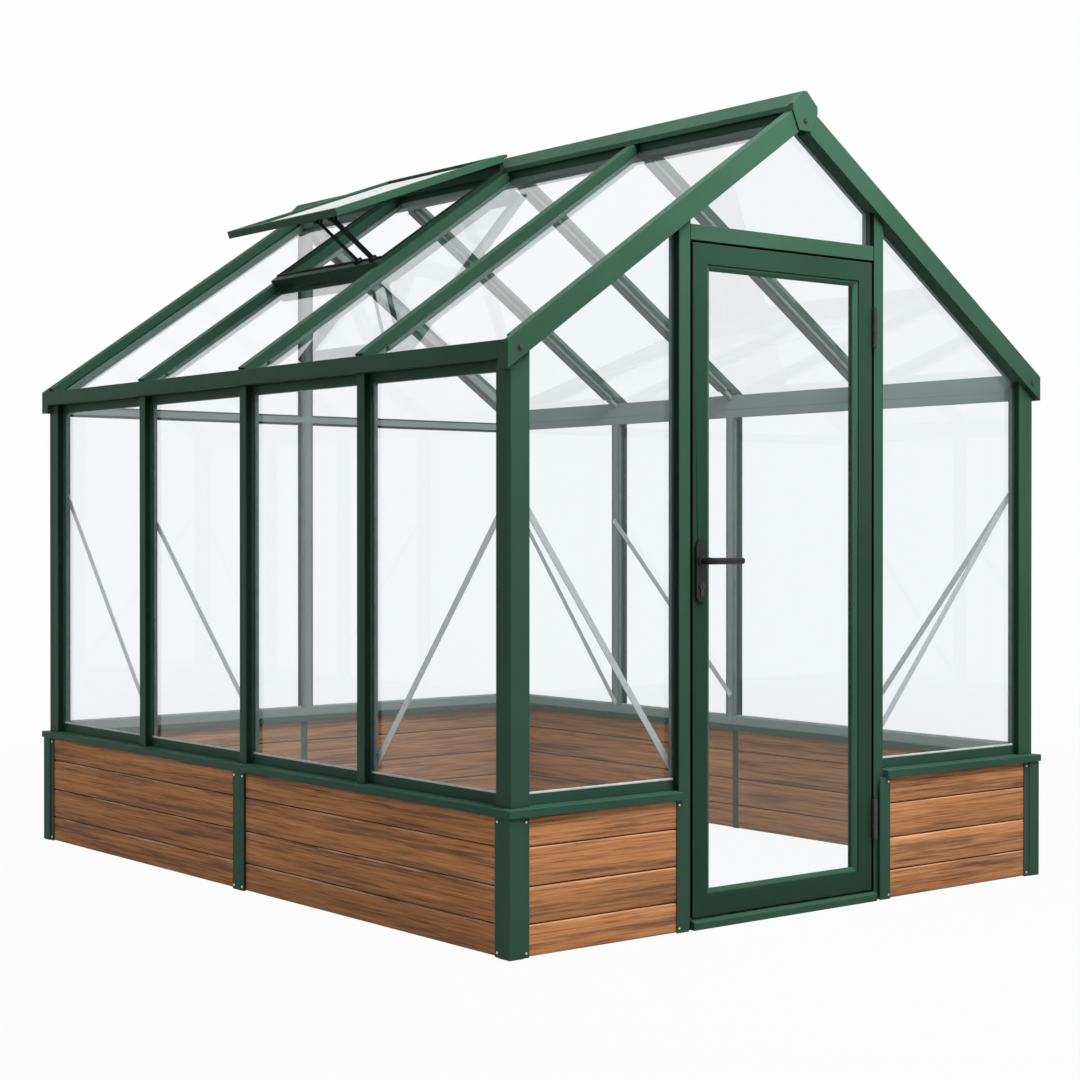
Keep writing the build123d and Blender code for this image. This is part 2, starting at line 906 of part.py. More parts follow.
def vent_strip(start):
    """Low strip along a roof bar, between the hinge rail and the cross rail."""
    corners = [
        (vent_start, roof_drop),
        (curb_run, roof_drop),
        (curb_run, roof_drop - curb_rise),
        (vent_start, roof_drop - curb_rise),
    ]
    outline = [roof_point(LEFT, run, depth, start) for run, depth in corners]
    return prism(outline, (0, 1, 0), curb_strip)


def vent_stay(share, stay_width):
    """A stay: a foot on the curb, a flat arm and a shoe under the sash."""
    place = vent_front + share * (vent_back - vent_front)
    thick = stay_thickness
    foot_mid = curb_run + curb_body / 2
    base = roof_drop - curb_rise
    corners = [
        (foot_mid - stay_foot / 2, base),
        (foot_mid + stay_foot / 2, base),
        (foot_mid + stay_foot / 2, base - stay_foot_height),
        (foot_mid - stay_foot / 2, base - stay_foot_height),
    ]
    foot_wide = 2 * thick
    foot_line = [roof_point(LEFT, run, depth, place - foot_wide / 2) for run, depth in corners]
    foot = prism(foot_line, (0, 1, 0), foot_wide)
    plane = vent_plane()
    shoe_run = vent_length - sash_rail / 2
    shoe_y = vent_middle - place
    shoe = plane * (
        Pos(shoe_run, shoe_y, -stay_foot_height / 2) * Box(stay_foot, foot_wide, stay_foot_height)
    )
    low = roof_point(LEFT, foot_mid, base - stay_foot_height / 2, place - thick / 2)
    high_mid = plane.from_local_coords((shoe_run, 0, -stay_foot_height / 2))
    rise = (high_mid.X - low[0], high_mid.Z - low[2])
    lean = atan2(rise[1], rise[0])
    across = (-sin(lean) * stay_width / 2, cos(lean) * stay_width / 2)
    arm_line = [
        (low[0] + across[0], low[2] + across[1]),
        (high_mid.X + across[0], high_mid.Z + across[1]),
        (high_mid.X - across[0], high_mid.Z - across[1]),
        (low[0] - across[0], low[2] - across[1]),
    ]
    arm = along_y(arm_line, place - thick / 2, place + thick / 2)
    whole = foot + arm + shoe
    return whole - vent_sash() - vent_curb()


def vent_stays():
    """Both stays of the vent."""
    return joined([vent_stay(*stay) for stay in zip(stay_shares, stay_widths)])


# Braces
def flat_brace(start, finish, to_point, direction):
    """A flat bar between two fixing points in a wall, past each by its end length."""
    run = finish[0] - start[0]
    rise = finish[1] - start[1]
    length = (run * run + rise * rise) ** 0.5
    along = (run / length, rise / length)
    across = (-along[1] * brace_width / 2, along[0] * brace_width / 2)
    low = (start[0] - along[0] * brace_end, start[1] - along[1] * brace_end)
    high = (finish[0] + along[0] * brace_end, finish[1] + along[1] * brace_end)
    corners = [
        (low[0] + across[0], low[1] + across[1]),
        (high[0] + across[0], high[1] + across[1]),
        (high[0] - across[0], high[1] - across[1]),
        (low[0] - across[0], low[1] - across[1]),
    ]
    return prism([to_point(*corner) for corner in corners], direction, brace_thickness)


def side_braces(side):
    """End bays braced from the corner posts down, and one bay between."""
    first = bar_places[0]
    last = bar_places[-1]
    pairs = [
        ((-inner_y, brace_head), (first, brace_foot)),
        ((inner_y, brace_head), (last, brace_foot)),
        ((last, inner_brace_head), (bar_places[-2], inner_brace_foot)),
    ]

    def on_wall(y, z):
        return (side * inner_x, y, z)

    return [flat_brace(start, finish, on_wall, (-side, 0, 0)) for start, finish in pairs]


def front_braces():
    """A brace across each pane beside the door, from the corner post down to the jamb."""
    jamb_middle = (jamb_width - edge_lap) / 2
    pairs = [
        ((-inner_x, brace_head), (door_left - jamb_middle, brace_foot)),
        ((inner_x, brace_head), (door_right + jamb_middle, brace_foot)),
    ]

    def on_wall(x, z):
        return (x, -inner_y, z)

    return [flat_brace(start, finish, on_wall, (0, 1, 0)) for start, finish in pairs]


def braces():
    """All the flat braces."""
    return joined(side_braces(LEFT) + side_braces(RIGHT) + front_braces())


# Door leaf
def leaf_block(inset, face_depth, back_depth):
    """A block of the leaf, set in from its edges, between two depths."""
    return block(
        (leaf_left + inset, leaf_right - inset),
        (leaf_face + face_depth, leaf_face + back_depth),
        (leaf_foot + inset, leaf_head - inset),
    )


def bore(x, z, radius, y_from, y_to):
    """A round bar along Y."""
    middle = (y_from + y_to) / 2
    return Pos(x, middle, z) * Rot(90, 0, 0) * Cylinder(radius, abs(y_to - y_from))


def lock_bar(room, y_from, y_to):
    """Keyhole-shaped bar of the lock: a round above a narrower foot."""
    round_part = bore(lever_x, lever_height - lock_drop, lock_radius + room, y_from, y_to)
    top = lever_height - lock_drop
    foot = top + lock_radius - lock_height
    slot = block(
        (lever_x - lock_width / 2 - room, lever_x + lock_width / 2 + room),
        (y_from, y_to),
        (foot - room, top),
    )
    return round_part + slot


def door_frame():
    """Welded frame of the leaf, rebated for glass, bored for the handle and lock."""
    glass_back = leaf_glass_depth + glass_thickness
    frame = leaf_block(0, 0, leaf_thickness)
    frame -= leaf_block(stile_width, -overrun, glass_back)
    frame -= leaf_block(stile_width + leaf_lip, -overrun, leaf_thickness + overrun)
    ends = (leaf_face - overrun, leaf_back + overrun)
    frame -= bore(lever_x, lever_height, spindle_radius + stile_bore_room, *ends)
    frame -= lock_bar(neck_room, *ends)
    return frame


def door_bead():
    """Bevelled bead that holds the glass from the front."""
    ring = leaf_block(stile_width, bead_recess, leaf_glass_depth)
    width = leaf_right - leaf_left
    height = leaf_head - leaf_foot
    middle = ((leaf_left + leaf_right) / 2, (leaf_foot + leaf_head) / 2)
    inset = stile_width + bead_width
    edge_depth = leaf_glass_depth - bead_edge
    through = leaf_block(inset, bead_recess - overrun, leaf_glass_depth + overrun)
    sections = []
    for depth, reach in ((bead_recess, inset - bead_slope), (edge_depth, inset)):
        plane = Plane(
            origin=(middle[0], leaf_face + depth, middle[1]),
            x_dir=(1, 0, 0),
            z_dir=(0, -1, 0),
        )
        sections.append(plane * Rectangle(width - 2 * reach, height - 2 * reach))
    return ring - through - loft(sections)


def door_glass():
    """Pane of the leaf."""
    back = leaf_glass_depth + glass_thickness
    return leaf_block(stile_width + glass_clearance, leaf_glass_depth, back)


def handle_plate(y_from, y_to):
    """Long plate with round ends behind a lever, bored for spindle and lock."""
    radius = plate_width / 2
    top = lever_height + plate_above_lever - radius
    foot = lever_height + plate_above_lever - plate_height + radius
    plate = block((lever_x - radius, lever_x + radius), (y_from, y_to), (foot, top))
    plate += bore(lever_x, top, radius, y_from, y_to)
    plate += bore(lever_x, foot, radius, y_from, y_to)
    ends = (y_from - overrun, y_to + overrun)
    plate -= bore(lever_x, lever_height, spindle_radius + spindle_room, *ends)
    return plate - lock_bar(neck_room, *ends)


def handle_plates():
    """Plates on the outside and the inside of the leaf."""
    outside = handle_plate(leaf_face - plate_thickness, leaf_face)
    inside = handle_plate(leaf_back, leaf_back + plate_thickness)
    return joined([outside, inside])


def door_lock():
    """Lock barrel through both plates and the stile."""
    proud = plate_thickness + lock_proud
    return lock_bar(0, leaf_face - proud, leaf_back + proud)


def lever_grip(face, outward):
    """Round neck out from a plate, and a round grip with bevelled ends."""
    neck_start = face + outward * neck_room
    grip_middle = face + outward * lever_standoff
    neck = bore(lever_x, lever_height, neck_radius, neck_start, grip_middle)
    long = lever_length + lever_radius
    bar = Cylinder(lever_radius, long)
    bar = chamfer(bar.edges().filter_by(GeomType.CIRCLE), lever_chamfer)
    middle = lever_x - lever_radius + long / 2
    return neck + Pos(middle, grip_middle, lever_height) * Rot(0, 90, 0) * bar


def door_lever():
    """Spindle through the leaf with a lever at each end."""
    outer_face = leaf_face - plate_thickness
    inner_face = leaf_back + plate_thickness
    spindle = bore(
        lever_x,
        lever_height,
        spindle_radius,
        outer_face - lever_standoff,
        inner_face + lever_standoff,
    )
    return spindle + lever_grip(outer_face, -1) + lever_grip(inner_face, 1)


# Door hinges
def knuckle(foot, head, radius):
    """Round length of a hinge on its axis."""
    return Pos(hinge_x, hinge_y, (foot + head) / 2) * Cylinder(radius, head - foot)


def hinge_flap(side, y_from, y_to, foot, head):
    """Flat plate in the gap beside the leaf, on the leaf's or the jamb's edge."""
    edge = leaf_right if side == LEFT else door_right
    return block((edge, edge - side * hinge_plate_thickness), (y_from, y_to), (foot, head))


def hinge_parts(height):
    """Heights of the two joints between three equal knuckles."""
    foot = height - hinge_length / 2
    third = hinge_length / 3
    return foot, foot + third, foot + 2 * third, foot + hinge_length


def jamb_hinges():
    """Fixed halves: upper and lower knuckles on one pin, with a plate on the jamb."""
    halves = []
    for height in hinge_heights:
        foot, low, high, head = hinge_parts(height)
        half = knuckle(foot, head, hinge_pin_radius)
        half += hinge_flap(RIGHT, leaf_face, leaf_face + hinge_plate, foot, head)
        for start, finish in ((foot, low - knuckle_room), (high + knuckle_room, head)):
            half += knuckle(start, finish, hinge_radius)
            half += hinge_flap(RIGHT, hinge_y, leaf_face, start, finish)
        halves.append(half)
    return joined(halves)


def leaf_hinges():
    """Moving halves: the middle knuckle and its plate on the leaf."""
    halves = []
    for height in hinge_heights:
        foot, low, high, head = hinge_parts(height)
        start = low + knuckle_room
        finish = high - knuckle_room
        half = knuckle(start, finish, hinge_radius)
        half += hinge_flap(LEFT, hinge_y, leaf_face, start, finish)
        half += hinge_flap(LEFT, leaf_face, leaf_face + hinge_plate, foot, head)
        halves.append(half - knuckle(foot, head, hinge_pin_radius + pin_room))
    return joined(halves)


house_corners = [(side, end) for side in (LEFT, RIGHT) for end in (FRONT, BACK)]
base_posts = [base_corner_post(*corner) for corner in house_corners]
nodes = {
    "base_corner_posts": joined(base_posts),
    "base_mid_posts": base_mid_posts(),
    "base_panels": base_panels(),
    "sill_left": sill_side(LEFT),
    "sill_right": sill_side(RIGHT),
    "sill_back": sill_end(BACK),
    "sills_front": sills_front(),
    "corner_posts": corner_posts(),
    "side_bars_left": side_bars(LEFT),
    "side_bars_right": side_bars(RIGHT),
    "wall_rails_left": wall_rails(LEFT),
    "wall_rails_right": wall_rails(RIGHT),
    "gable_rails": gable_rails(),
    "back_post": back_post(),
    "door_jambs": joined([door_jamb(LEFT), door_jamb(RIGHT)]),
    "door_lintel": door_lintel(),
    "threshold": threshold(),
    "gutter_left": gutter(LEFT),
    "gutter_right": gutter(RIGHT),
    "eaves_end_caps": joined([eaves_end_cap(*corner) for corner in house_corners]),
    "rafter_front_left": gable_rafter(LEFT, FRONT),
    "rafter_front_right": gable_rafter(RIGHT, FRONT),
    "rafter_back_left": gable_rafter(LEFT, BACK),
    "rafter_back_right": gable_rafter(RIGHT, BACK),
    "ridge": ridge(),
    "ridge_end_caps": ridge_end_caps(),
    "roof_bars_left": roof_bars(LEFT),
    "roof_bars_right": roof_bars(RIGHT),
    "side_glass_left": side_glass(LEFT),
    "side_glass_right": side_glass(RIGHT),
    "roof_glass_left": roof_glass(LEFT),
    "roof_glass_right": roof_glass(RIGHT),
    "front_glass": front_glass(),
    "back_glass": back_glass(),
    "vent_sash": vent_sash(),
    "vent_glass": vent_glass(),
    "vent_curb": vent_curb(),
    "vent_stays": vent_stays(),
    "braces": braces(),
    "jamb_hinges": jamb_hinges(),
    "leaf_hinges": leaf_hinges(),
    "door_frame": door_frame(),
    "door_bead": door_bead(),
    "door_glass": door_glass(),
    "handle_plates": handle_plates(),
    "door_lock": door_lock(),
    "door_lever": door_lever(),
}

os.makedirs("parts", exist_ok=True)
for name, shape in nodes.items():
    export_step(shape, os.path.join("parts", name + ".step"))
print("roof pitch", round(degrees(pitch), 2), "base length", base_length, "nodes", len(nodes))
print("hinge axis", hinge_x, hinge_y, "lever axis", lever_x, lever_height, "leaf face", leaf_face)
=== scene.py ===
from math import atan2, cos, pi, radians, sin, tan

import bpy
import numpy as np
from bpy.props import FloatProperty, FloatVectorProperty, PointerProperty
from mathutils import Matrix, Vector


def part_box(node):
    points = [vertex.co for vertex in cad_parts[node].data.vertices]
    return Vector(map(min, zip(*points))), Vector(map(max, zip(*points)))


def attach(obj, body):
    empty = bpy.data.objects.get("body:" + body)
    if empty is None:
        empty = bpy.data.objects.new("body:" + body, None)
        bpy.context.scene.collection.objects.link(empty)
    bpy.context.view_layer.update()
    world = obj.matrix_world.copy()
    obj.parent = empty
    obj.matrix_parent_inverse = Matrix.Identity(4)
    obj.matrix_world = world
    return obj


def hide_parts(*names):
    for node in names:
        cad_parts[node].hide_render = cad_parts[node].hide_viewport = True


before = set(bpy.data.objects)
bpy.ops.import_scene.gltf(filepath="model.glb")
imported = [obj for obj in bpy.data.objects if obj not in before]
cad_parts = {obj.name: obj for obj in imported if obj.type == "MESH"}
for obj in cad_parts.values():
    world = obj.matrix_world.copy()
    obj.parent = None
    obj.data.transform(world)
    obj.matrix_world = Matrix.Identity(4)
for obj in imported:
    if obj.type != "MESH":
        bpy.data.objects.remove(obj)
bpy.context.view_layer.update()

bl_info = {
    "name": "Glass greenhouse",
    "version": (1, 0, 0),
    "blender": (4, 5, 0),
    "location": "3D View > Sidebar > Greenhouse",
    "description": "Finishes, boards, fasteners and seals for a glazed garden house",
    "category": "Add Mesh",
}

LEFT, RIGHT, FRONT, BACK = -1.0, 1.0, -1.0, 1.0
SIDES, ENDS = (LEFT, RIGHT), (FRONT, BACK)
UP, DOWN = (0.0, 0.0, 1.0), (0.0, 0.0, -1.0)

# Places taken from the frame
BASE_LOW, BASE_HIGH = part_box("base_corner_posts")
PANEL_LOW, PANEL_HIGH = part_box("base_panels")
BAR_LOW, BAR_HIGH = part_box("side_bars_left")
DOORWAY_LOW, DOORWAY_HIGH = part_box("door_lintel")
LEAF_LOW, LEAF_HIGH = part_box("door_frame")
PLATE_LOW, PLATE_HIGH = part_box("handle_plates")
LEVER_LOW, LEVER_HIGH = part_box("door_lever")
LOCK_LOW, LOCK_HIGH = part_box("door_lock")
HINGE_LOW, HINGE_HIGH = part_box("jamb_hinges")
CAP_LOW, CAP_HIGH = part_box("ridge_end_caps")
SASH_LOW, SASH_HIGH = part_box("vent_sash")
CURB_LOW, CURB_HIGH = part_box("vent_curb")
RAFTER_LOW, RAFTER_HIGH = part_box("rafter_front_left")
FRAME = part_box("corner_posts")[1]
INNER_X, INNER_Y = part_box("gutter_right")[0].x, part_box("back_post")[0].y
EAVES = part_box("eaves_end_caps")[1]
SILL_TOP, GUTTER_BASE = BAR_LOW.z, BAR_HIGH.z
RIDGE_Z = RAFTER_HIGH.z
PITCH = atan2(RIDGE_Z - EAVES.z, EAVES.x)
BAR_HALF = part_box("back_post")[1].x
BAR_PLACES = np.linspace(BAR_LOW.y + BAR_HALF, BAR_HIGH.y - BAR_HALF, 3)

# Sections of the frame that its boxes don't give
BODY_HALF = 0.011            # inner body of a glazing bar
CORNER_EDGE = 0.060          # face of an upper corner post
CORNER_BODY = FRAME.y - INNER_Y
JAMB_EDGE, JAMB_BODY = 0.041, 0.029  # face and body of a door jamb
ROOF_DROP = 0.001            # caps of the roof bars under the bargeboard's edge
GLASS_BACK = 0.032           # face of the bars to the back of the glass
VEIL_FROM, VEIL_TO = GLASS_BACK - 0.0008, GLASS_BACK + 0.0002  # where the painted veil and light behind the glass start
INNER_FOOT = SILL_TOP - GLASS_BACK - 0.001
RAIL_TOP = SILL_TOP + 0.028  # foot channel of the glass
CURB_TOP = ROOF_DROP - 0.012  # top of the vent's curb under the bargeboard's edge
CURB_STRIP = 0.014
SUNK = 0.0005                # how far a fitting is let into what carries it
GAP_EDGE, GAP_STRIP = 0.0022, 0.014  # near-black painted shade in the gaps beside the door
# Colour of the painted shade in the door's gaps
GAP_SHADE_TONE = (0.004, 0.005, 0.005)


def length(name, description, default, most=0.2):
    """A length in metres that a user may change."""
    limits = {"min": 0.0, "max": most, "unit": "LENGTH", "precision": 4}
    return FloatProperty(name=name, description=description, default=default, **limits)


def colour(name, description, default):
    """A colour that a user may change, as linear red, green and blue."""
    limits = {"size": 3, "min": 0.0, "max": 1.0, "subtype": "COLOR"}
    return FloatVectorProperty(name=name, description=description, default=default, **limits)


def level(name, description, default, most=1000.0):
    """A plain number that a user may change."""
    return FloatProperty(name=name, description=description, default=default, min=0.0, max=most)


def angle(name, description, default):
    """An angle in radians that a user may change."""
    return FloatProperty(name=name, description=description, default=default, subtype="ANGLE")


class GreenhouseFinishes(bpy.types.PropertyGroup):
    """Colours of the finishes and how far hard edges are eased."""

    frame_green: colour("Frame green", "Powder coat of the frame", (0.0300, 0.0765, 0.0512))
    # Pale grey painted on the frame behind the glass: the glass's veil and the light that reaches
    # there, painted.
    veiled_grey: colour("Inner grey", "Thin coat behind the glass", (0.190, 0.247, 0.228))
    door_green: colour("Door green", "Powder coat of the door leaf", (0.0170, 0.0455, 0.0300))
    board_dark: colour("Board dark", "Dark streaks of the boards", (0.305, 0.150, 0.080))
    board_mid: colour("Board brown", "Main brown of the boards", (0.560, 0.256, 0.108))
    board_light: colour("Board light", "Pale streaks of the boards", (0.800, 0.415, 0.178))
    glass_tint: colour("Glass tint", "What a pane lets through", (0.945, 0.965, 0.971))
    metal_grey: colour("Bare metal", "Braces and screw heads", (0.350, 0.368, 0.370))
    bead_grey: colour("Bead grey", "Glazing beads inside the bars", (0.135, 0.165, 0.156))
    # Pale beads on the foot channels stand in for the highlight on the lip: painted highlight.
    foot_highlight_grey: colour("Foot bead grey", "Pale beads on the foot channels", (0.640, 0.660, 0.660))
    black: colour("Black hardware", "Lever, plates and vent stays", (0.0075, 0.0078, 0.0080))
    edge_round: length("Edge round", "Radius left on the frame's hard edges", 0.0012)


class GreenhouseBoards(bpy.types.PropertyGroup):
    """Sizes of the boards of the low wall."""

    thickness: length("Thickness", "Thickness of a board", 0.026)
    edge_round: length("Edge round", "Radius along a board's edges", 0.0045)
    seam: length("Seam", "Open joint between two boards", 0.0024)
    # The tongue's near-black is painted shade in the seam.
    tongue: length("Tongue", "Height of the dark tongue behind a seam", 0.010)
    cover: length("Cover", "How far the posts' lips lie in front of the boards", 0.008)
    corner_body: length("Corner body", "Square body of a corner post, where boards end", 0.044)
    post_web: length("Post web", "Web of a middle post, where boards end", 0.028)


class GreenhouseFasteners(bpy.types.PropertyGroup):
    """Sizes of the screws and bolts."""

    screw_head: length("Screw head", "Radius of a screw head on the low wall", 0.0034)
    screw_height: length("Screw height", "Height of a screw head", 0.0022)
    screw_inset: length("Screw inset", "Screw from the end of its post", 0.0125)
    bolt_head: length("Bolt head", "Radius of a bolt head on the bargeboards", 0.0064)
    bolt_height: length("Bolt height", "Height of a bolt head", 0.0050)
    brace_bolt: length("Brace bolt", "Radius of a bolt head on a brace", 0.0052)


class GreenhouseSeals(bpy.types.PropertyGroup):
    """Sizes of the rubber seals and glazing beads; the seals' dark is painted shade, the foot
    beads' pale a painted highlight.
    """

    # A dark strip down each side of a bar's cap: rubber, its dark tone painted shade of the recess.
    seal_from: length("Seal from", "Face of a bar to the start of its rubber seal", 0.0025)
    seal_to: length("Seal to", "Face of a bar to the end of its rubber seal", 0.0195)
    bead_from: length("Bead from", "Face of a bar to the start of its inner bead", 0.0330)
    bead_to: length("Bead to", "Face of a bar to the end of its inner bead", 0.0452)
    proud: length("Seal proud", "How far a seal stands out from the bar", 0.0012)
    bead_proud: length("Bead proud", "How far an inner bead stands out from the bar", 0.0110)
    # Height of the pale foot bead, a painted highlight on the lip
    foot_bead: length("Foot bead", "Height of the bead on a foot channel", 0.0052)
    # The door stop's black is painted shade in the gaps round the leaf.
    stop_width: length("Door stop width", "Rubber stop behind the edge of the leaf", 0.0090)
    stop_room: length("Door stop room", "Leaf to the rubber stop", 0.0012)


class GreenhouseHandle(bpy.types.PropertyGroup):
    """Sizes of the lever handle."""

    radius: length("Radius", "Radius of the lever's round bar", 0.0090)
    bend: length("Bend", "Radius of the lever's bend, along its middle", 0.0135)
    collar: length("Collar", "Radius of the collar at the plate", 0.0135)
    collar_height: length("Collar height", "Height of that collar", 0.0060)


class GreenhouseVent(bpy.types.PropertyGroup):
    """Sizes and slope of the roof vent's seals and pins."""

    seal_width: length("Seal width", "Width of the rubber on the curb", 0.0110)
    seal_height: length("Seal height", "Height of the rubber on the curb", 0.0040)
    pin_radius: length("Pin radius", "Radius of the pins of the stays", 0.0042)
    pin_reach: length("Pin reach", "Half the length of a pin", 0.0110)
    hinge_radius: length("Hinge radius", "Radius of the round bar at the vent's head", 0.0055)
    slope: angle("Slope", "Slope of the open sash", PITCH - radians(14.6))


class GreenhouseStage(bpy.types.PropertyGroup):
    """Camera, lamps and floor."""

    camera_place: FloatVectorProperty(
        name="Camera place", description="Where the camera stands", subtype="TRANSLATION",
        default=(-4.16799, -5.33685, 1.06371), size=3, unit="LENGTH",
    )
    heading: angle("Heading", "Turn of the view from the door to the right", radians(38.702))
    tilt: angle("Tilt", "Lift of the view over level", radians(-0.3105))
    lens: FloatProperty(
        name="Lens", description="Focal length", default=69.4, min=10.0, unit="CAMERA"
    )
    floor_reach: length("Floor reach", "Half the width of the floor", 60.0, 500.0)
    floor_colour: colour("Floor colour", "Pale studio floor", (0.32, 0.32, 0.32))
    near_white: level("White near", "Share of plain white in the floor beside the house", 0.97, 1.0)
    sky_level: level("Sky level", "Soft light from all round", 0.235, 4.0)
    key_power: level("Key lamp", "Power of the lamp over the front", 252.0, 5000.0)
    fill_power: level("Fill lamp", "Power of the lamp at the left", 66.0, 5000.0)
    top_power: level("Top lamp", "Power of the lamp overhead", 70.0, 5000.0)
    back_power: level("Back lamp", "Power of the lamp behind the far corner", 240.0, 5000.0)


# Shapes


def shells(rings):
    """Points and faces of closed shells.

    rings[k, m, n] is point n of ring m of shell k. Each ring joins the next
    by quads, and the mean of the first and of the last ring closes its end.
    A shell whose signed volume is negative has its faces turned round.
    """
    count, rows, around, _ = rings.shape
    poles = rings[:, [0, -1]].mean(axis=2)
    points = np.concatenate([rings.reshape(count, -1, 3), poles], axis=1)
    row = np.arange(rows - 1)[:, None] * around
    here = np.arange(around)
    after = (here + 1) % around
    quads = np.stack([row + here, row + after, row + around + after, row + around + here], axis=-1)
    quads = quads.reshape(-1, 4)
    last = (rows - 1) * around
    foot = np.stack([after, here, np.full(around, rows * around)], axis=-1)
    head = np.stack([last + here, last + after, np.full(around, rows * around + 1)], axis=-1)
    caps = np.concatenate([foot, head])
    halves = np.concatenate([quads[:, [0, 1, 2]], quads[:, [0, 2, 3]], caps])
    corners = points[:, halves]
    volume = np.einsum("kti,kti->k", corners[:, :, 0], np.cross(corners[:, :, 1], corners[:, :, 2]))
    start = np.arange(count)[:, None, None] * points.shape[1]
    inside_out = (volume < 0)[:, None, None]
    quads = np.where(inside_out, quads[:, ::-1], quads) + start
    caps = np.where(inside_out, caps[:, ::-1], caps) + start
    faces = quads.reshape(-1, 4).tolist() + caps.reshape(-1, 3).tolist()
    return points.reshape(-1, 3), faces


def piece(name, rings, material, body, smooth_angle=40.0):
    """A mesh object of closed shells, which rides on a body of the frame."""
    points, faces = shells(rings)
    mesh = bpy.data.meshes.new(name)
    mesh.from_pydata(points.tolist(), [], faces)
    mesh.polygons.foreach_set("use_smooth", np.ones(len(faces), bool))
    mesh.set_sharp_from_angle(angle=radians(smooth_angle))
    mesh.materials.append(material)
    mesh.update()
    made = bpy.data.objects.new(name, mesh)
    bpy.context.scene.collection.objects.link(made)
    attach(made, body)
    return made


def rounded_outline(low, high, radius, steps=4):
    """A rectangle with round corners: each corner's centre plus a quarter circle."""
    turn = np.linspace(0.0, pi / 2, steps)
    quarter = (np.arange(4)[:, None] * pi / 2 + turn[None, :]).reshape(-1)
    sides = np.repeat(np.array([[1, 1], [0, 1], [0, 0], [1, 0]]), steps, axis=0)
    low, high = np.asarray(low, float), np.asarray(high, float)
    centres = np.where(sides == 1, high - radius, low + radius)
    return centres + radius * np.stack([np.cos(quarter), np.sin(quarter)], axis=-1)


def round_outline(radius, around):
    """A circle of points: (r cos a, r sin a)."""
    turn = np.linspace(0.0, 2 * pi, around, endpoint=False)
    return radius * np.stack([np.cos(turn), np.sin(turn)], axis=-1)


def turned(outline, around):
    """A profile of radius and height turned round the Z axis: (r cos a, r sin a, h)."""
    outline = np.asarray(outline, float)
    turn = np.linspace(0.0, 2 * pi, around, endpoint=False)
    radius, height = outline[:, :1], outline[:, 1:]
    return np.stack(
        [radius * np.cos(turn), radius * np.sin(turn), np.repeat(height, around, axis=1)], axis=-1
    )


def scaled(shape, radius, height):
    """A profile from shares of a radius and of a height."""
    return [(out * radius, up * height) for out, up in shape]


def carried(outline, runs):
    """A profile carried along straight runs: start or end + u across + v inward.

    Each run is (start, end, across, inward).
    """
    starts, ends, across, inward = (np.asarray(part, float) for part in zip(*runs))
    flat = outline[None, :, :1] * across[:, None, :] + outline[None, :, 1:] * inward[:, None, :]
    return np.stack([starts, ends], axis=1)[:, :, None, :] + flat[:, None, :, :]


def set_at(rings, places, normals):
    """Copies of a shape, each with its Z axis along a normal: x u + y v + z w + place."""
    places, out = np.asarray(places, float), np.asarray(normals, float)
    out = out / np.linalg.norm(out, axis=1, keepdims=True)
    helper = np.where(np.abs(out[:, 2:]) > 0.9, [[1.0, 0.0, 0.0]], [[0.0, 0.0, 1.0]])
    across = np.cross(helper, out)
    across = across / np.linalg.norm(across, axis=1, keepdims=True)
    axes = np.stack([across, np.cross(out, across), out], axis=1)
    return np.einsum("mnj,kji->kmni", rings, axes) + places[:, None, None, :]


def to_x(way):
    """A vector along X."""
    return (way, 0.0, 0.0)


def to_y(way):
    """A vector along Y."""
    return (0.0, way, 0.0)


def down_slope(side):
    """Direction down a slope of the roof."""
    return np.array((side * cos(PITCH), 0.0, -sin(PITCH)))


def into_slope(side):
    """Direction square into a slope of the roof."""
    return np.array((-side * sin(PITCH), 0.0, -cos(PITCH)))


def roof_point(side, run, depth, y):
    """A point by its run down the slope and its depth under the roof's edge."""
    return np.array((0.0, y, RIDGE_Z)) + run * down_slope(side) + depth * into_slope(side)


def board_edge(x):
    """Height of the bargeboard's lower edge over a place across the gable."""
    return RIDGE_Z - abs(x) * tan(PITCH) - (EAVES.z - RAFTER_LOW.z)


def bar_edges(half):
    """Both edges of each bar along a side, and the way each faces."""
    return [(place + way * half, way) for place in BAR_PLACES for way in (-1.0, 1.0)]


def gable_spans(end_x, half):
    """Spans across each gable, beside the doorway or the middle post."""
    return {
        FRONT: [(-end_x, DOORWAY_LOW.x - JAMB_EDGE), (DOORWAY_HIGH.x + JAMB_EDGE, end_x)],
        BACK: [(-end_x, -half), (half, end_x)],
    }


def upright_edges(bar_half, corner_edge, jamb_edge):
    """Runs up the edges of the bars, posts and jambs beside the panes."""
    runs = []
    for side in SIDES:
        corners = [(end * (FRAME.y - corner_edge), -end) for end in ENDS]
        for y, way in bar_edges(bar_half) + corners:
            foot, head = (side * FRAME.x, y, SILL_TOP), (side * FRAME.x, y, GUTTER_BASE)
            runs.append((foot, head, to_y(way), to_x(-side)))
    between = {
        FRONT: [(DOORWAY_LOW.x - jamb_edge, -1.0), (DOORWAY_HIGH.x + jamb_edge, 1.0)],
        BACK: [(-bar_half, -1.0), (bar_half, 1.0)],
    }
    for end in ENDS:
        corners = [(side * (FRAME.x - corner_edge), -side) for side in SIDES]
        for x, way in between[end] + corners:
            foot, head = (x, end * FRAME.y, SILL_TOP), (x, end * FRAME.y, board_edge(x))
            runs.append((foot, head, to_x(way), to_y(-end)))
    return runs


def slope_edges(bar_half, top_run, foot_run):
    """Runs down the edges of the roof bars."""
    runs = []
    for side in SIDES:
        for y, way in bar_edges(bar_half):
            top, foot = (roof_point(side, run, ROOF_DROP, y) for run in (top_run, foot_run))
            runs.append((top, foot, to_y(way), into_slope(side)))
    return runs


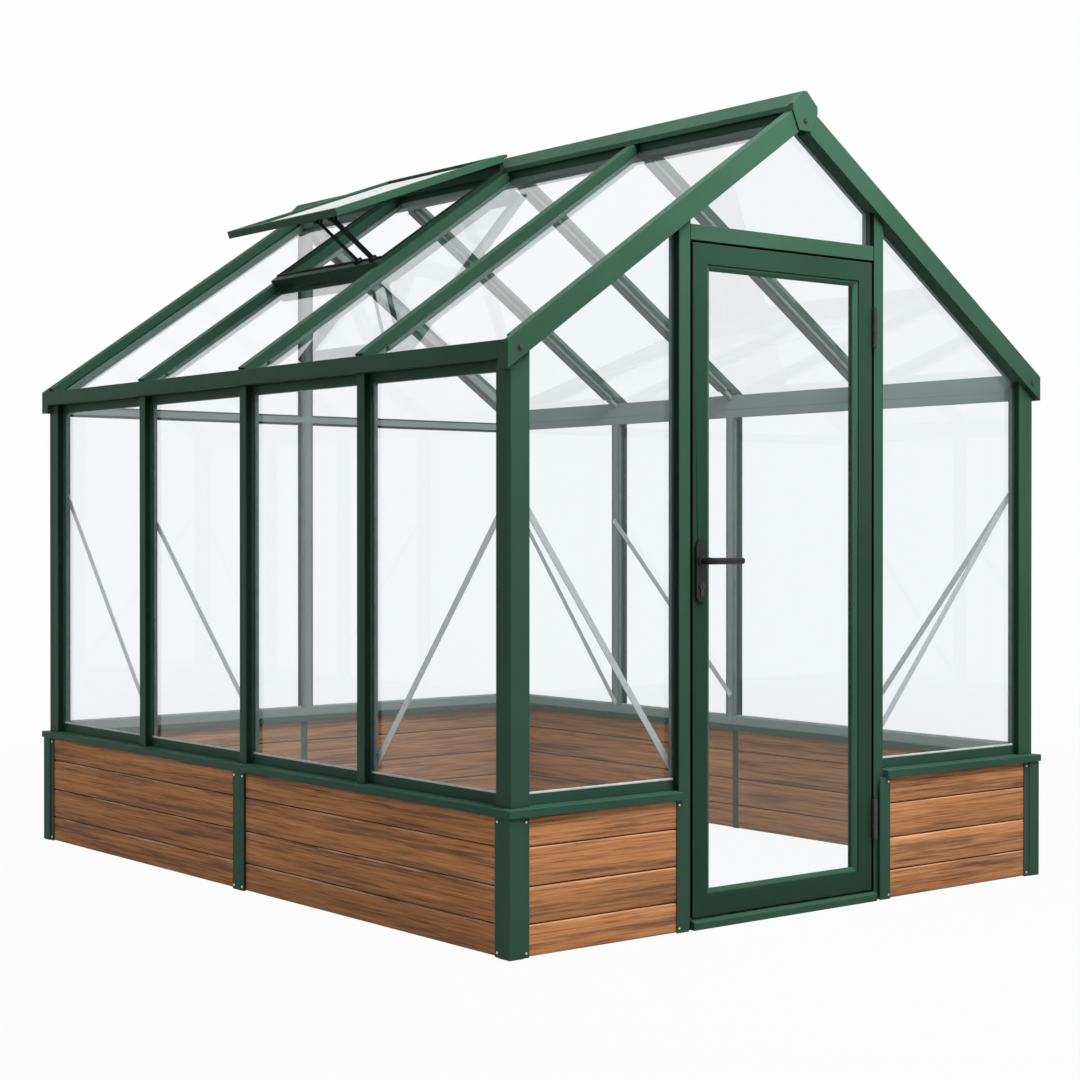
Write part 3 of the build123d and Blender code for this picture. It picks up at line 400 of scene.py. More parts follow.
def foot_runs(height):
    """Runs along the foot channels of the panes, from cap to cap, at a height."""
    end_y, end_x = FRAME.y - CORNER_EDGE, FRAME.x - CORNER_EDGE
    stops = [-end_y] + [edge for edge, _ in bar_edges(BAR_HALF)] + [end_y]
    runs = []
    for side in SIDES:
        for start, stop in zip(stops[::2], stops[1::2]):
            line = ((side * FRAME.x, start, height), (side * FRAME.x, stop, height))
            runs.append((*line, to_x(-side), UP))
    spans = gable_spans(end_x, BAR_HALF)
    for end in ENDS:
        for start, stop in spans[end]:
            line = ((start, end * FRAME.y, height), (stop, end * FRAME.y, height))
            runs.append((*line, to_y(-end), UP))
    return runs


# Finishes


def node(tree, kind, inputs=None, **settings):
    """A shader node with its settings, and its inputs set or linked by name or place."""
    made = tree.nodes.new("ShaderNode" + kind)
    for key, value in settings.items():
        setattr(made, key, value)
    for key, value in (inputs or {}).items():
        if isinstance(value, bpy.types.NodeSocket):
            tree.links.new(value, made.inputs[key])
        else:
            made.inputs[key].default_value = value
    return made


def new_finish(name):
    """An empty material and its node tree."""
    made = bpy.data.materials.new(name)
    made.use_nodes = True
    made.node_tree.nodes.clear()
    return made, made.node_tree


def shown(tree, shader):
    """Links a shader to the material's output."""
    node(tree, "OutputMaterial", {"Surface": shader})


def place_in(tree):
    """Object coordinates."""
    return node(tree, "TexCoord").outputs["Object"]


def at_place(tree, scale=(1.0, 1.0, 1.0)):
    """Object coordinates, stretched along each axis."""
    values = {"Vector": place_in(tree), "Scale": scale}
    return node(tree, "Mapping", values).outputs["Vector"]


def maths(tree, operation, *values):
    """One step of arithmetic on numbers or sockets."""
    return node(tree, "Math", dict(enumerate(values)), operation=operation).outputs[0]


def noise(tree, vector, scale, detail=3.0, roughness=0.55, shift=None, distortion=0.0):
    """The strength of a noise pattern; a shift picks another pattern of the same kind."""
    values = {"Vector": vector, "Scale": scale, "Detail": detail, "Roughness": roughness}
    values["Distortion"] = distortion
    if shift is not None:
        values["W"] = shift
    kind = "3D" if shift is None else "4D"
    return node(tree, "TexNoise", values, noise_dimensions=kind).outputs["Fac"]


def ranged(tree, value, low, high, start=0.0, end=1.0):
    """A value from start to end carried over to low to high."""
    values = {"Value": value, "From Min": start, "From Max": end, "To Min": low, "To Max": high}
    return node(tree, "MapRange", values).outputs["Result"]


def ramp(tree, value, stops):
    """Colours by a value: stops are (place, colour)."""
    made = node(tree, "ValToRGB", {"Fac": value})
    points = made.color_ramp.elements
    while len(points) < len(stops):
        points.new(0.5)
    for point, (place, shade) in zip(points, stops):
        point.position = place
        point.color = (*shade, 1.0)
    return made.outputs["Color"]


def mixed(tree, share, first, second, blend="MIX"):
    """Two colours mixed by a share."""
    values = {0: share, 6: first, 7: second}
    return node(tree, "Mix", values, data_type="RGBA", blend_type=blend).outputs[2]


def shade_of(tone, factor):
    """A colour made lighter or darker."""
    return tuple(min(1.0, part * factor) for part in tone)


MIDDLE = (0.3, 0.7)  # where most of a noise lies


def clouded(tree, value, tone, low, high):
    """A colour that a noise makes darker and lighter."""
    factors = zip(MIDDLE, (low, high))
    return ramp(tree, value, [(place, shade_of(tone, factor)) for place, factor in factors])


def bumped(tree, strength, distance, height):
    """A fine relief from a noise."""
    values = {"Strength": strength, "Distance": distance, "Height": height}
    return node(tree, "Bump", values).outputs["Normal"]


def surfaced(made, values):
    """Gives a material its one surface, and hands the material back."""
    shader = node(made.node_tree, "BsdfPrincipled", values)
    shown(made.node_tree, shader.outputs["BSDF"])
    return made


def veil_share(tree):
    """0 on the outer parts of the frame and 1 on what lies behind the glass, where the coat takes a
    painted veil and painted light.

    A point lies behind the glass where the least of its depths from the side
    walls, the gables, the roof and the cap of the low wall passes the glass.
    """
    parts = node(tree, "SeparateXYZ", {"Vector": place_in(tree)}).outputs
    across = maths(tree, "ABSOLUTE", parts["X"])
    along = maths(tree, "ABSOLUTE", parts["Y"])
    from_side = maths(tree, "SUBTRACT", FRAME.x, across)
    from_gable = maths(tree, "SUBTRACT", FRAME.y, along)
    lifted = maths(tree, "MULTIPLY_ADD", across, tan(PITCH), parts["Z"])
    from_roof = maths(tree, "MULTIPLY", maths(tree, "SUBTRACT", RIDGE_Z, lifted), cos(PITCH))
    from_sill = maths(tree, "SUBTRACT", parts["Z"], INNER_FOOT)
    least = from_side
    for depth in (from_gable, from_roof, from_sill):
        least = maths(tree, "MINIMUM", least, depth)
    return ranged(tree, least, 0.0, 1.0, VEIL_FROM, VEIL_TO)


def gap_shade_share(tree, edges, front):
    """1 on a strip behind a front face, on the upright edges beside the door's gaps, where shade is
    painted, else 0.
    """
    parts = node(tree, "SeparateXYZ", {"Vector": place_in(tree)}).outputs
    beside = [maths(tree, "COMPARE", parts["X"], edge, GAP_EDGE) for edge in edges]
    strip = maths(tree, "LESS_THAN", parts["Y"], front + GAP_STRIP)
    return maths(tree, "MULTIPLY", maths(tree, "MAXIMUM", *beside), strip)


def powder_coat(name, tone, gloss, inner=None, gap_shade=None):
    """Satin powder coat: faint clouds of colour and a fine orange-peel surface.

    Behind the glass it is painted pale grey, a painted veil of the glass and painted light, and
    painted shade darkens the door's gaps.
    """
    made, tree = new_finish(name)
    place = at_place(tree)
    clouds = noise(tree, place, 2.3, 4.0)
    tint = clouded(tree, clouds, tone, 0.88, 1.10)
    if inner is not None:
        # Painted veil and light: the coat behind the glass turns pale grey.
        thin = clouded(tree, clouds, inner, 0.93, 1.06)
        tint = mixed(tree, veil_share(tree), tint, thin)
    # Painted shade: near-black on the edges beside the door's gaps.
    if gap_shade is not None:
        tint = mixed(tree, gap_shade_share(tree, *gap_shade), tint, (*GAP_SHADE_TONE, 1.0))
    speckle = noise(tree, place, 55.0, 2.0)
    peel = noise(tree, place, 420.0, 2.0)
    values = {
        "Base Color": tint,
        "Roughness": ranged(tree, speckle, gloss - 0.05, gloss + 0.07, *MIDDLE),
        "Normal": bumped(tree, 0.10, 0.0006, peel),
        "Specular IOR Level": 0.08,
    }
    return surfaced(made, values)


def clear_glass(name, tint):
    """Float glass with a faint film, which lets the lamps' light pass."""
    made, tree = new_finish(name)
    film = noise(tree, at_place(tree, (1.0, 1.0, 0.45)), 3.0, 4.0)
    values = {
        "Base Color": (*tint, 1.0),
        "Roughness": ranged(tree, film, 0.0, 0.012, 0.4, 0.8),
        "IOR": 1.33,
        "Transmission Weight": 1.0,
    }
    pane = node(tree, "BsdfPrincipled", values)
    passing = node(tree, "BsdfTransparent", {"Color": (*shade_of(tint, 0.90), 1.0)})
    path = node(tree, "LightPath").outputs["Is Shadow Ray"]
    sides = {0: path, 1: pane.outputs["BSDF"], 2: passing.outputs["BSDF"]}
    shown(tree, node(tree, "MixShader", sides).outputs["Shader"])
    return made


def board_grain(name, dark, mid, pale, along, painted_highlight):
    """Streaky wood grain, long along the boards, with its own pattern on each board.

    Four noises, each stretched along the board: broad changes of tone, bands a
    finger high, thin streaks a hand long and fine hairlines. A painted highlight
    lies along the upper edge of each board, marked by its own attribute:
    painted_highlight gives the strength of the streaks from which it starts, the
    least and the most share of its tone, and that tone. The inner half of each
    board takes a painted shade.
    """
    made, tree = new_finish(name)
    skin, shade_fade = 0.022, 0.002  # outer face to a board's middle, and the width over which the painted shade of the board's inner half comes in
    own = node(tree, "Attribute", attribute_name="board").outputs["Fac"]
    shift = ranged(tree, own, 0.0, 40.0)

    def stretched(slow, fast):
        return at_place(tree, (slow, fast, fast) if along == 0 else (fast, slow, fast))

    broad = noise(tree, stretched(1.1, 9.0), 1.0, 2.0, 0.5, shift)
    bands = noise(tree, stretched(1.6, 38.0), 1.0, 3.0, 0.5, shift, 0.2)
    thin = noise(tree, stretched(4.6, 150.0), 1.0, 5.0, 0.66, shift, 0.25)
    hairs = noise(tree, stretched(6.0, 270.0), 1.0, 4.0, 0.65, shift, 0.2)
    streaks = maths(tree, "MULTIPLY_ADD", bands, 0.42, maths(tree, "MULTIPLY", thin, 0.58))
    darker, lighter, plain = shade_of(dark, 0.86), shade_of(mid, 1.14), (1.0, 1.0, 1.0)
    browns = [(0.32, darker), (0.42, dark), (0.49, mid), (0.56, lighter), (0.67, pale)]
    tone = ramp(tree, streaks, browns)
    wash = ramp(tree, broad, [(0.34, (0.86, 0.84, 0.82)), (0.66, plain)])
    lines = [(0.36, (0.56, 0.50, 0.47)), (0.49, (0.94, 0.92, 0.90)), (0.60, plain)]
    hair = ramp(tree, hairs, lines)
    worked = mixed(tree, 1.0, mixed(tree, 0.9, tone, wash, "MULTIPLY"), hair, "MULTIPLY")
    # Painted shade: the inner half of each board, facing into the house, is 0.78 as bright.
    parts = node(tree, "SeparateXYZ", {"Vector": place_in(tree)}).outputs
    outward = maths(tree, "ABSOLUTE", parts["Y" if along == 0 else "X"])
    middle = (BASE_HIGH.y if along == 0 else BASE_HIGH.x) - skin
    outer = ranged(tree, outward, 0.78, 1.0, middle - shade_fade, middle + shade_fade)
    # Each board's own tone times the painted shade of its inner half
    value = maths(tree, "MULTIPLY", ranged(tree, own, 0.92, 1.10), outer)
    # The painted highlight along the upper edge, where the rim attribute is 1
    rim = node(tree, "Attribute", attribute_name="rim").outputs["Fac"]
    highlight_from, least, most, highlight_tone = painted_highlight
    highlight = maths(tree, "MULTIPLY", rim, ranged(tree, thin, least, most, highlight_from, 0.60))
    highlighted = mixed(tree, highlight, worked, (*highlight_tone, 1.0))
    lit = node(tree, "HueSaturation", {"Color": highlighted, "Value": value})
    values = {
        "Base Color": lit.outputs["Color"],
        "Roughness": ranged(tree, streaks, 0.66, 0.50, *MIDDLE),
        "Normal": bumped(tree, 0.35, 0.0008, hairs),
        "Specular IOR Level": 0.10,
    }
    return surfaced(made, values)


def bare_metal(name, tone, low, high, metallic=1.0):
    """Drawn or brushed metal, with fine lines in its colour and gloss."""
    made, tree = new_finish(name)
    lines = noise(tree, at_place(tree, (40.0, 40.0, 6.0)), 14.0, 3.0)
    tint = clouded(tree, lines, tone, 0.85, 1.08)
    gloss = ranged(tree, lines, low, high, *MIDDLE)
    return surfaced(made, {"Base Color": tint, "Roughness": gloss, "Metallic": metallic})


def grained(name, tone, gloss, specular):
    """Paint, rubber or plastic with a fine grain and faint clouds."""
    made, tree = new_finish(name)
    place = at_place(tree)
    grain = noise(tree, place, 900.0, 2.0)
    values = {
        "Base Color": clouded(tree, noise(tree, place, 30.0), tone, 0.86, 1.12),
        "Roughness": ranged(tree, grain, gloss - 0.05, gloss + 0.08, *MIDDLE),
        "Normal": bumped(tree, 0.12, 0.0003, grain),
        "Specular IOR Level": specular,
    }
    return surfaced(made, values)


def finish(name):
    """The finish of that name, made once from the user's colours."""
    if name in bpy.data.materials:
        return bpy.data.materials[name]
    tones = bpy.context.scene.greenhouse_finishes
    browns = tuple(tones.board_dark), tuple(tones.board_mid), tuple(tones.board_light)
    grey, green, inner = tones.metal_grey, tones.frame_green, tones.veiled_grey
    # Painted highlights along the boards' upper edges: start, least and most share, and tone
    highlight_ends = 0.38, 0.10, 0.60, (0.66, 0.46, 0.33)
    highlight_sides = 0.46, 0.00, 0.85, (0.80, 0.64, 0.53)
    # Where shade is painted in the gaps beside the leaf and beside the jamb
    leaf_gap_shade = (LEAF_LOW.x, LEAF_HIGH.x), LEAF_LOW.y
    jamb_gap_shade = (DOORWAY_LOW.x, DOORWAY_HIGH.x), -FRAME.y
    makers = {
        # The frame's coats turn pale grey behind the glass: painted veil and painted light.
        "green_coat": (powder_coat, green, 0.46, inner),
        "leaf_coat": (powder_coat, tones.door_green, 0.44, None, leaf_gap_shade),
        "jamb_coat": (powder_coat, green, 0.46, inner, jamb_gap_shade),
        "pane_glass": (clear_glass, tones.glass_tint),
        "grain_ends": (board_grain, *browns, 0, highlight_ends),
        "grain_sides": (board_grain, *browns, 1, highlight_sides),
        # Near-black tongue: painted shade in the seams.
        "tongue_wood": (grained, shade_of(tones.board_dark, 0.12), 0.8, 0.1),
        "brace_aluminium": (bare_metal, shade_of(grey, 1.35), 0.45, 0.6, 0.25),
        "screw_steel": (bare_metal, shade_of(grey, 1.8), 0.22, 0.35),
        "hinge_metal": (bare_metal, shade_of(grey, 0.15), 0.34, 0.48, 0.6),
        "bolt_dark": (bare_metal, shade_of(grey, 0.14), 0.20, 0.32, 0.5),
        # Darker copy of the frame green on the roof bars: painted shade.
        "roof_coat": (powder_coat, shade_of(green, 0.74), 0.46, inner),
        # Lighter copy of the frame green on the door bead and threshold: painted light.
        "bead_coat": (powder_coat, shade_of(green, 1.15), 0.44),
        # Darker copy of the door green on the vent's curb: painted shade.
        "curb_coat": (powder_coat, shade_of(tones.door_green, 0.62), 0.46),
        # Darker copy of the black on the vent stays: painted shade.
        "stay_black": (grained, shade_of(tones.black, 0.6), 0.60, 0.10),
        "lever_black": (grained, tones.black, 0.40, 0.30),
        # Dark green rubber on the bars' sides: painted shade of the recess.
        "bar_rubber": (grained, shade_of(tones.door_green, 0.45), 0.70, 0.10),
        # Black rubber; on the door stop and the keyways its black is painted shade.
        "seal_rubber": (grained, tones.black, 0.70, 0.12),
        "bead_pale": (grained, tones.bead_grey, 0.55, 0.25),
        # Pale bead on the foot channels: painted highlight.
        "foot_pale": (grained, tones.foot_highlight_grey, 0.55, 0.30),
    }
    maker, *values = makers[name]
    return maker(name, *values)


SLOT_FINISHES = {
    "frame_green": "green_coat",
    "door_green": "leaf_coat",
    "glass": "pane_glass",
    "wall_boards": "grain_sides",
    "brace_metal": "brace_aluminium",
    "black_hardware": "lever_black",
    "hinge_steel": "hinge_metal",
}
OWN_FINISHES = {
    "roof_bars_left": "roof_coat",
    "roof_bars_right": "roof_coat",
    "vent_curb": "curb_coat",
    "vent_stays": "stay_black",
    "door_bead": "bead_coat",
    "threshold": "bead_coat",
    "door_jambs": "jamb_coat",
}
EASED_SLOTS = ("frame_green", "door_green", "black_hardware")


class GREENHOUSE_OT_frame_finish(bpy.types.Operator):
    """Give each piece of the frame its finish and ease the hard edges of the coated ones"""

    bl_idname = "greenhouse.frame_finish"
    bl_label = "Frame finish"

    def execute(self, context):
        round_off = context.scene.greenhouse_finishes.edge_round
        for name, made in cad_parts.items():
            slot = made.data.materials[0].name.split(".")[0]
            made.data.materials[0] = finish(OWN_FINISHES.get(name, SLOT_FINISHES[slot]))
            if slot in EASED_SLOTS:
                weld = made.modifiers.new("weld", "WELD")
                weld.merge_threshold = 0.00001
                ease = made.modifiers.new("ease", "BEVEL")
                ease.width = round_off
                ease.segments = 2
                ease.limit_method = "ANGLE"
                ease.angle_limit = radians(25.0)
        return {"FINISHED"}


class GREENHOUSE_OT_wall_boards(bpy.types.Operator):
    """Lay the boards of the low wall, four high, with a tongue behind each seam, near-black to
    paint the shade in the seam
    """

    bl_idname = "greenhouse.wall_boards"
    bl_label = "Wall boards"

    seam_shares = (0.0, 0.232, 0.5, 0.782, 1.0)
    skip = 0.618034  # spreads the boards' own patterns
    rim_from, rim_to = 4, 7  # points of an outline on its upper outer corner, where the highlight is painted

    def execute(self, context):
        sizes = context.scene.greenhouse_boards
        levels = PANEL_LOW.z + np.array(self.seam_shares) * (PANEL_HIGH.z - PANEL_LOW.z)
        half = sizes.seam / 2
        front, back = sizes.cover, sizes.cover + sizes.thickness
        boards = [
            rounded_outline((front, low + half), (back, high - half), sizes.edge_round)
            for low, high in zip(levels[:-1], levels[1:])
        ]
        quarter, reach = sizes.thickness / 4, sizes.tongue / 2
        tongues = [
            rounded_outline((front + quarter, seam - reach), (back - quarter, seam + reach), half)
            for seam in levels[1:-1]
        ]
        walls = self.walls(sizes)
        kinds = ("side_boards", "grain_sides"), ("gable_boards", "grain_ends")
        for facing, (name, grain) in enumerate(kinds):
            rings = np.concatenate([carried(board, walls[facing]) for board in boards])
            made = piece(name, rings, finish(grain), "house", 60.0)
            around = rings.shape[2]
            own = np.modf(np.arange(len(rings)) * self.skip + facing * self.skip / 2)[0]
            self.mark(made, "board", np.repeat(own, 2 * around + 2))
            # Marks the upper outer corner of each board, where the painted highlight goes
            rim = np.zeros((len(rings), 2 * around + 2))
            for row in (0, around):
                rim[:, row + self.rim_from : row + self.rim_to] = 1.0
            self.mark(made, "rim", rim)
            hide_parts("base_panels")
        # Tongues behind the seams, near-black as painted shade
        rings = np.concatenate([carried(tongue, walls[0] + walls[1]) for tongue in tongues])
        piece("board_tongues", rings, finish("tongue_wood"), "house")
        return {"FINISHED"}

    @staticmethod
    def mark(made, name, values):
        """Keeps a number at each point of a piece."""
        flat = values.reshape(-1).astype(np.float32)
        made.data.attributes.new(name, "FLOAT", "POINT").data.foreach_set("value", flat)

    def walls(self, sizes):
        """Runs of the boards from post to post, along the sides and along the gables."""
        web = sizes.post_web / 2
        end_y, end_x = BASE_HIGH.y - sizes.corner_body, BASE_HIGH.x - sizes.corner_body
        sides, gables = [], []
        for side in SIDES:
            x = side * BASE_HIGH.x
            for start, stop in ((-end_y, -web), (web, end_y)):
                sides.append(((x, start, 0.0), (x, stop, 0.0), to_x(-side), UP))
        spans = gable_spans(end_x, web)
        for end in (BACK, FRONT):
            y = end * BASE_HIGH.y
            for start, stop in spans[end]:
                gables.append(((start, y, 0.0), (stop, y, 0.0), to_y(-end), UP))
        return sides, gables


class GREENHOUSE_OT_screws(bpy.types.Operator):
    """Set pan-head screws into the lips of the base posts and beside the doorway"""

    bl_idname = "greenhouse.screws"
    bl_label = "Screws"

    lip, recess, spread, beside = 0.055, 0.004, 0.023, 0.0515
    dome = (1.0, 0.25), (0.92, 0.62), (0.72, 0.9), (0.45, 1.0)
    socket = (0.28, 1.0), (0.22, 0.35), (0.1, 0.3)

    def execute(self, context):
        sizes = context.scene.greenhouse_fasteners
        r, h = sizes.screw_head, sizes.screw_height
        outline = [(r, -SUNK)] + scaled(self.dome + self.socket, r, h)
        spots = []
        for z in (BASE_LOW.z + sizes.screw_inset, BASE_HIGH.z - sizes.screw_inset):
            for side in SIDES:
                x, to_side = side * BASE_HIGH.x, to_x(side)
                for end in ENDS:
                    y = end * BASE_HIGH.y
                    spots.append(((x - side * self.recess, y - end * self.lip, z), to_side))
                    spots.append(((x - side * self.lip, y - end * self.recess, z), to_y(end)))
                for shift in (-self.spread, self.spread):
                    spots.append(((x, shift, z), to_side))
            for shift in (-self.spread, self.spread):
                spots.append(((shift, BASE_HIGH.y, z), to_y(BACK)))
            for x in (DOORWAY_LOW.x - self.beside, DOORWAY_HIGH.x + self.beside):
                spots.append(((x, BASE_LOW.y + self.recess, z), to_y(FRONT)))
        rings = set_at(turned(outline, 16), *zip(*spots))
        piece("post_screws", rings, finish("screw_steel"), "house", 50.0)
        return {"FINISHED"}


def domed_bolt(radius, height):
    """Profile of a domed bolt on a washer: radius and height from the washer's rim in."""
    edge, face = 1.35 * radius, 0.0014
    washer = [(edge, -SUNK), (edge, 0.0010), (1.22 * radius, face), (radius, face)]
    dome = (1.0, 0.50), (0.94, 0.70), (0.78, 0.88), (0.50, 0.98), (0.18, 1.0)
    return washer + scaled(dome, radius, height)


class GREENHOUSE_OT_bolts(bpy.types.Operator):
    """Set domed bolts at the bargeboards' feet, in the ridge plates and at the braces' ends"""

    bl_idname = "greenhouse.bolts"
    bl_label = "Bolts"

    eaves_x, eaves_z, ridge_drop, brace_thickness = 0.997, 1.512, 0.082, 0.003
    brace_head, brace_foot, inner_head, inner_foot = 0.800, 0.039, 0.718, 0.108

    def execute(self, context):
        sizes = context.scene.greenhouse_fasteners
        spots = []
        for end, face in ((FRONT, CAP_LOW.y), (BACK, CAP_HIGH.y)):
            outward = to_y(end)
            spots.append(((0.0, face, CAP_HIGH.z - self.ridge_drop), outward))
            for side in SIDES:
                spots.append(((side * self.eaves_x, end * BASE_HIGH.y, self.eaves_z), outward))
        bolt = turned(domed_bolt(sizes.bolt_head, sizes.bolt_height), 18)
        rings = set_at(bolt, *zip(*spots))
        piece("gable_bolts", rings, finish("bolt_dark"), "house", 50.0)
        bolt = turned(domed_bolt(sizes.brace_bolt, sizes.bolt_height), 14)
        rings = set_at(bolt, *zip(*self.brace_ends()))
        piece("brace_bolts", rings, finish("screw_steel"), "house", 50.0)
        return {"FINISHED"}

    def brace_ends(self):
        """Places on the inner faces of the braces' ends, and the way each faces."""
        head, foot = SILL_TOP + self.brace_head, SILL_TOP + self.brace_foot
        first, middle, last = BAR_PLACES
        side_ends = [(-INNER_Y, head), (first, foot), (INNER_Y, head), (last, foot)]
        side_ends += [(last, SILL_TOP + self.inner_head), (middle, SILL_TOP + self.inner_foot)]
        spots = []
        for side in SIDES:
            x = side * (INNER_X - self.brace_thickness)
            spots += [((x, y, z), to_x(-side)) for y, z in side_ends]
        jamb_middle = JAMB_BODY / 2
        near, far = DOORWAY_LOW.x - jamb_middle, DOORWAY_HIGH.x + jamb_middle
        front_ends = [(-INNER_X, head), (near, foot), (INNER_X, head), (far, foot)]
        y = self.brace_thickness - INNER_Y
        return spots + [((x, y, z), to_y(BACK)) for x, z in front_ends]


class GREENHOUSE_OT_glazing_seals(bpy.types.Operator):
    """Run rubber along the outer caps, its dark tone painted shade of the recess, and pale beads
    along the inner bodies and foot channels, those on the foot channels a painted highlight
    """

    bl_idname = "greenhouse.glazing_seals"
    bl_label = "Glazing seals"

    round_off, bead_round = 0.0006, 0.0020
    lip_from, lip_to = 0.0252, 0.0279
    body_runs = (0.070, 1.160)

    def execute(self, context):
        sizes = context.scene.greenhouse_seals
        # Rubber down the caps' sides; its dark tone is painted shade of the recess.
        low, high = (-SUNK, sizes.seal_from), (sizes.proud, sizes.seal_to)
        seal = carried(
            rounded_outline(low, high, self.round_off),
            upright_edges(BAR_HALF, CORNER_EDGE, JAMB_EDGE),
        )
        piece("bar_shade_seals", seal, finish("bar_rubber"), "house")
        low, high = (-SUNK, sizes.bead_from), (sizes.bead_proud, sizes.bead_to)
        runs = upright_edges(BODY_HALF, CORNER_BODY, JAMB_BODY)
        runs += slope_edges(BODY_HALF, *self.body_runs)
        bead = carried(rounded_outline(low, high, self.bead_round), runs)
        piece("inner_beads", bead, finish("bead_pale"), "house")
        # Pale beads along the lips of the foot channels: painted highlight.
        low, high = (self.lip_from, -SUNK), (self.lip_to, sizes.foot_bead)
        foot = carried(rounded_outline(low, high, self.round_off), foot_runs(RAIL_TOP))
        piece("foot_highlight_beads", foot, finish("foot_pale"), "house")
        return {"FINISHED"}


class GREENHOUSE_OT_door_stop(bpy.types.Operator):
    """Fit the rubber stop behind the edges of the door leaf, its black a painted shade in the gap
    """

    bl_idname = "greenhouse.door_stop"
    bl_label = "Door stop"

    round_off = 0.0015

    def execute(self, context):
        sizes = context.scene.greenhouse_seals
        near, far = LEAF_HIGH.y + sizes.stop_room, -INNER_Y - SUNK
        outline = rounded_outline((-SUNK, near), (sizes.stop_width, far), self.round_off)
        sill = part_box("threshold")[1].z
        left, right, head = DOORWAY_LOW.x, DOORWAY_HIGH.x, DOORWAY_LOW.z
        back = to_y(1.0)
        runs = [
            ((left, 0.0, sill), (left, 0.0, head), to_x(1.0), back),
            ((right, 0.0, sill), (right, 0.0, head), to_x(-1.0), back),
            ((left, 0.0, head), (right, 0.0, head), DOWN, back),
        ]
        # The stop's black is painted shade in the gaps round the leaf.
        piece("door_stop", carried(outline, runs), finish("seal_rubber"), "house")
        return {"FINISHED"}


class GREENHOUSE_OT_lever_handle(bpy.types.Operator):
    """Bend the two lever grips, and fit their collars, the keyways and the inner plate's screws"""

    bl_idname = "greenhouse.lever_handle"
    bl_label = "Lever handle"

    bend_steps, tip_steps, around = 9, 7, 24
    screw_drop, sunk = 0.018, 0.0004
    bar, tip_share = 0.008, 0.5  # radius of the solid lever, and how blunt the tip is

    def execute(self, context):
        sizes = context.scene.greenhouse_handle
        lever_z = (LEVER_LOW.z + LEVER_HIGH.z) / 2
        axis_x = LEVER_LOW.x + self.bar
        reach = LEVER_HIGH.x - axis_x
        outside, inside = PLATE_LOW.y, PLATE_HIGH.y
        standoff = outside - LEVER_LOW.y - self.bar
        grip = self.grip(sizes, standoff, reach)
        origin = np.array((axis_x, 0.0, lever_z))
        halves = (FRONT, outside), (BACK, inside)
        rings = np.stack([grip * (1.0, end, 1.0) + origin + to_y(y) for end, y in halves])
        lever = piece("lever_grips", rings, finish("lever_black"), "lever")
        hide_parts("door_lever")
        faces = [(axis_x, outside, lever_z), (axis_x, inside, lever_z)]
        ways = [to_y(FRONT), to_y(BACK)]
        rim, tall = sizes.collar, sizes.collar_height
        shape = (1.0, 0.55), (0.96, 0.78), (0.85, 0.95), (0.72, 1.0), (0.64, 1.0)
        collar = [(rim, -self.sunk)] + scaled(shape, rim, tall)
        rings = set_at(turned(collar, 28), faces, ways)
        piece("lever_collars", rings, finish("lever_black"), "door")
        self.keyways(axis_x)
        fasteners = context.scene.greenhouse_fasteners
        heights = PLATE_LOW.z + self.screw_drop, PLATE_HIGH.z - self.screw_drop
        places = [(axis_x, inside, z) for z in heights]
        screw = turned(domed_bolt(fasteners.screw_head, fasteners.screw_height), 14)
        rings = set_at(screw, places, [to_y(BACK)] * 2)
        piece("plate_screws", rings, finish("bolt_dark"), "door", 50.0)
        return {"FINISHED"}

    def grip(self, sizes, standoff, reach):
        """A round bar out from the plate, round a quarter bend and along the door.

        Each ring is its centre plus r (n cos a + z sin a), with n square to the
        path in the level plane. At the tip r falls as a quarter ellipse.
        """
        bend, radius = sizes.bend, sizes.radius
        turn = np.linspace(0.0, pi / 2, self.bend_steps)
        tip = np.linspace(0.0, 1.0, self.tip_steps, endpoint=False)[1:]
        arc = np.stack([bend - bend * np.cos(turn), standoff - bend + bend * np.sin(turn)], axis=-1)
        along = reach - self.tip_share * radius * (1.0 - np.concatenate([[0.0], tip]))
        straight = np.stack([along, np.full_like(along, standoff)], axis=-1)
        centres = np.concatenate([[(0.0, self.sunk)], arc, straight])
        heading = np.concatenate([[0.0], turn, np.full(len(along), pi / 2)])
        plain = np.full(2 + self.bend_steps, radius)
        radii = np.concatenate([plain, radius * np.sqrt(1.0 - tip**2)])
        around = np.linspace(0.0, 2 * pi, self.around, endpoint=False)
        out = radii[:, None] * np.cos(around)
        x = centres[:, :1] + out * np.cos(heading)[:, None]
        y = centres[:, 1:] - out * np.sin(heading)[:, None]
        z = radii[:, None] * np.sin(around)
        return np.stack([x, y, z], axis=-1)

    def keyways(self, axis_x):
        """Narrow raised black slots on both faces of the lock, painted shade for the keyholes: a
        rounded outline carried out a little.
        """
        half_wide, half_high, round_off, proud, sunk = 0.0010, 0.0046, 0.0009, 0.0004, 0.001
        z = LOCK_HIGH.z - (LOCK_HIGH.x - LOCK_LOW.x) / 2
        outline = rounded_outline((-half_wide, -half_high), (half_wide, half_high), round_off)
        runs = []
        for y, out in ((LOCK_LOW.y, FRONT), (LOCK_HIGH.y, BACK)):
            line = (axis_x, y + out * proud, z), (axis_x, y - out * sunk, z)
            runs.append((*line, to_x(1.0), UP))
        rings = carried(outline, runs)
        # Black slots: painted shade in the keyholes.
        piece("lock_keyways", rings, finish("seal_rubber"), "door")


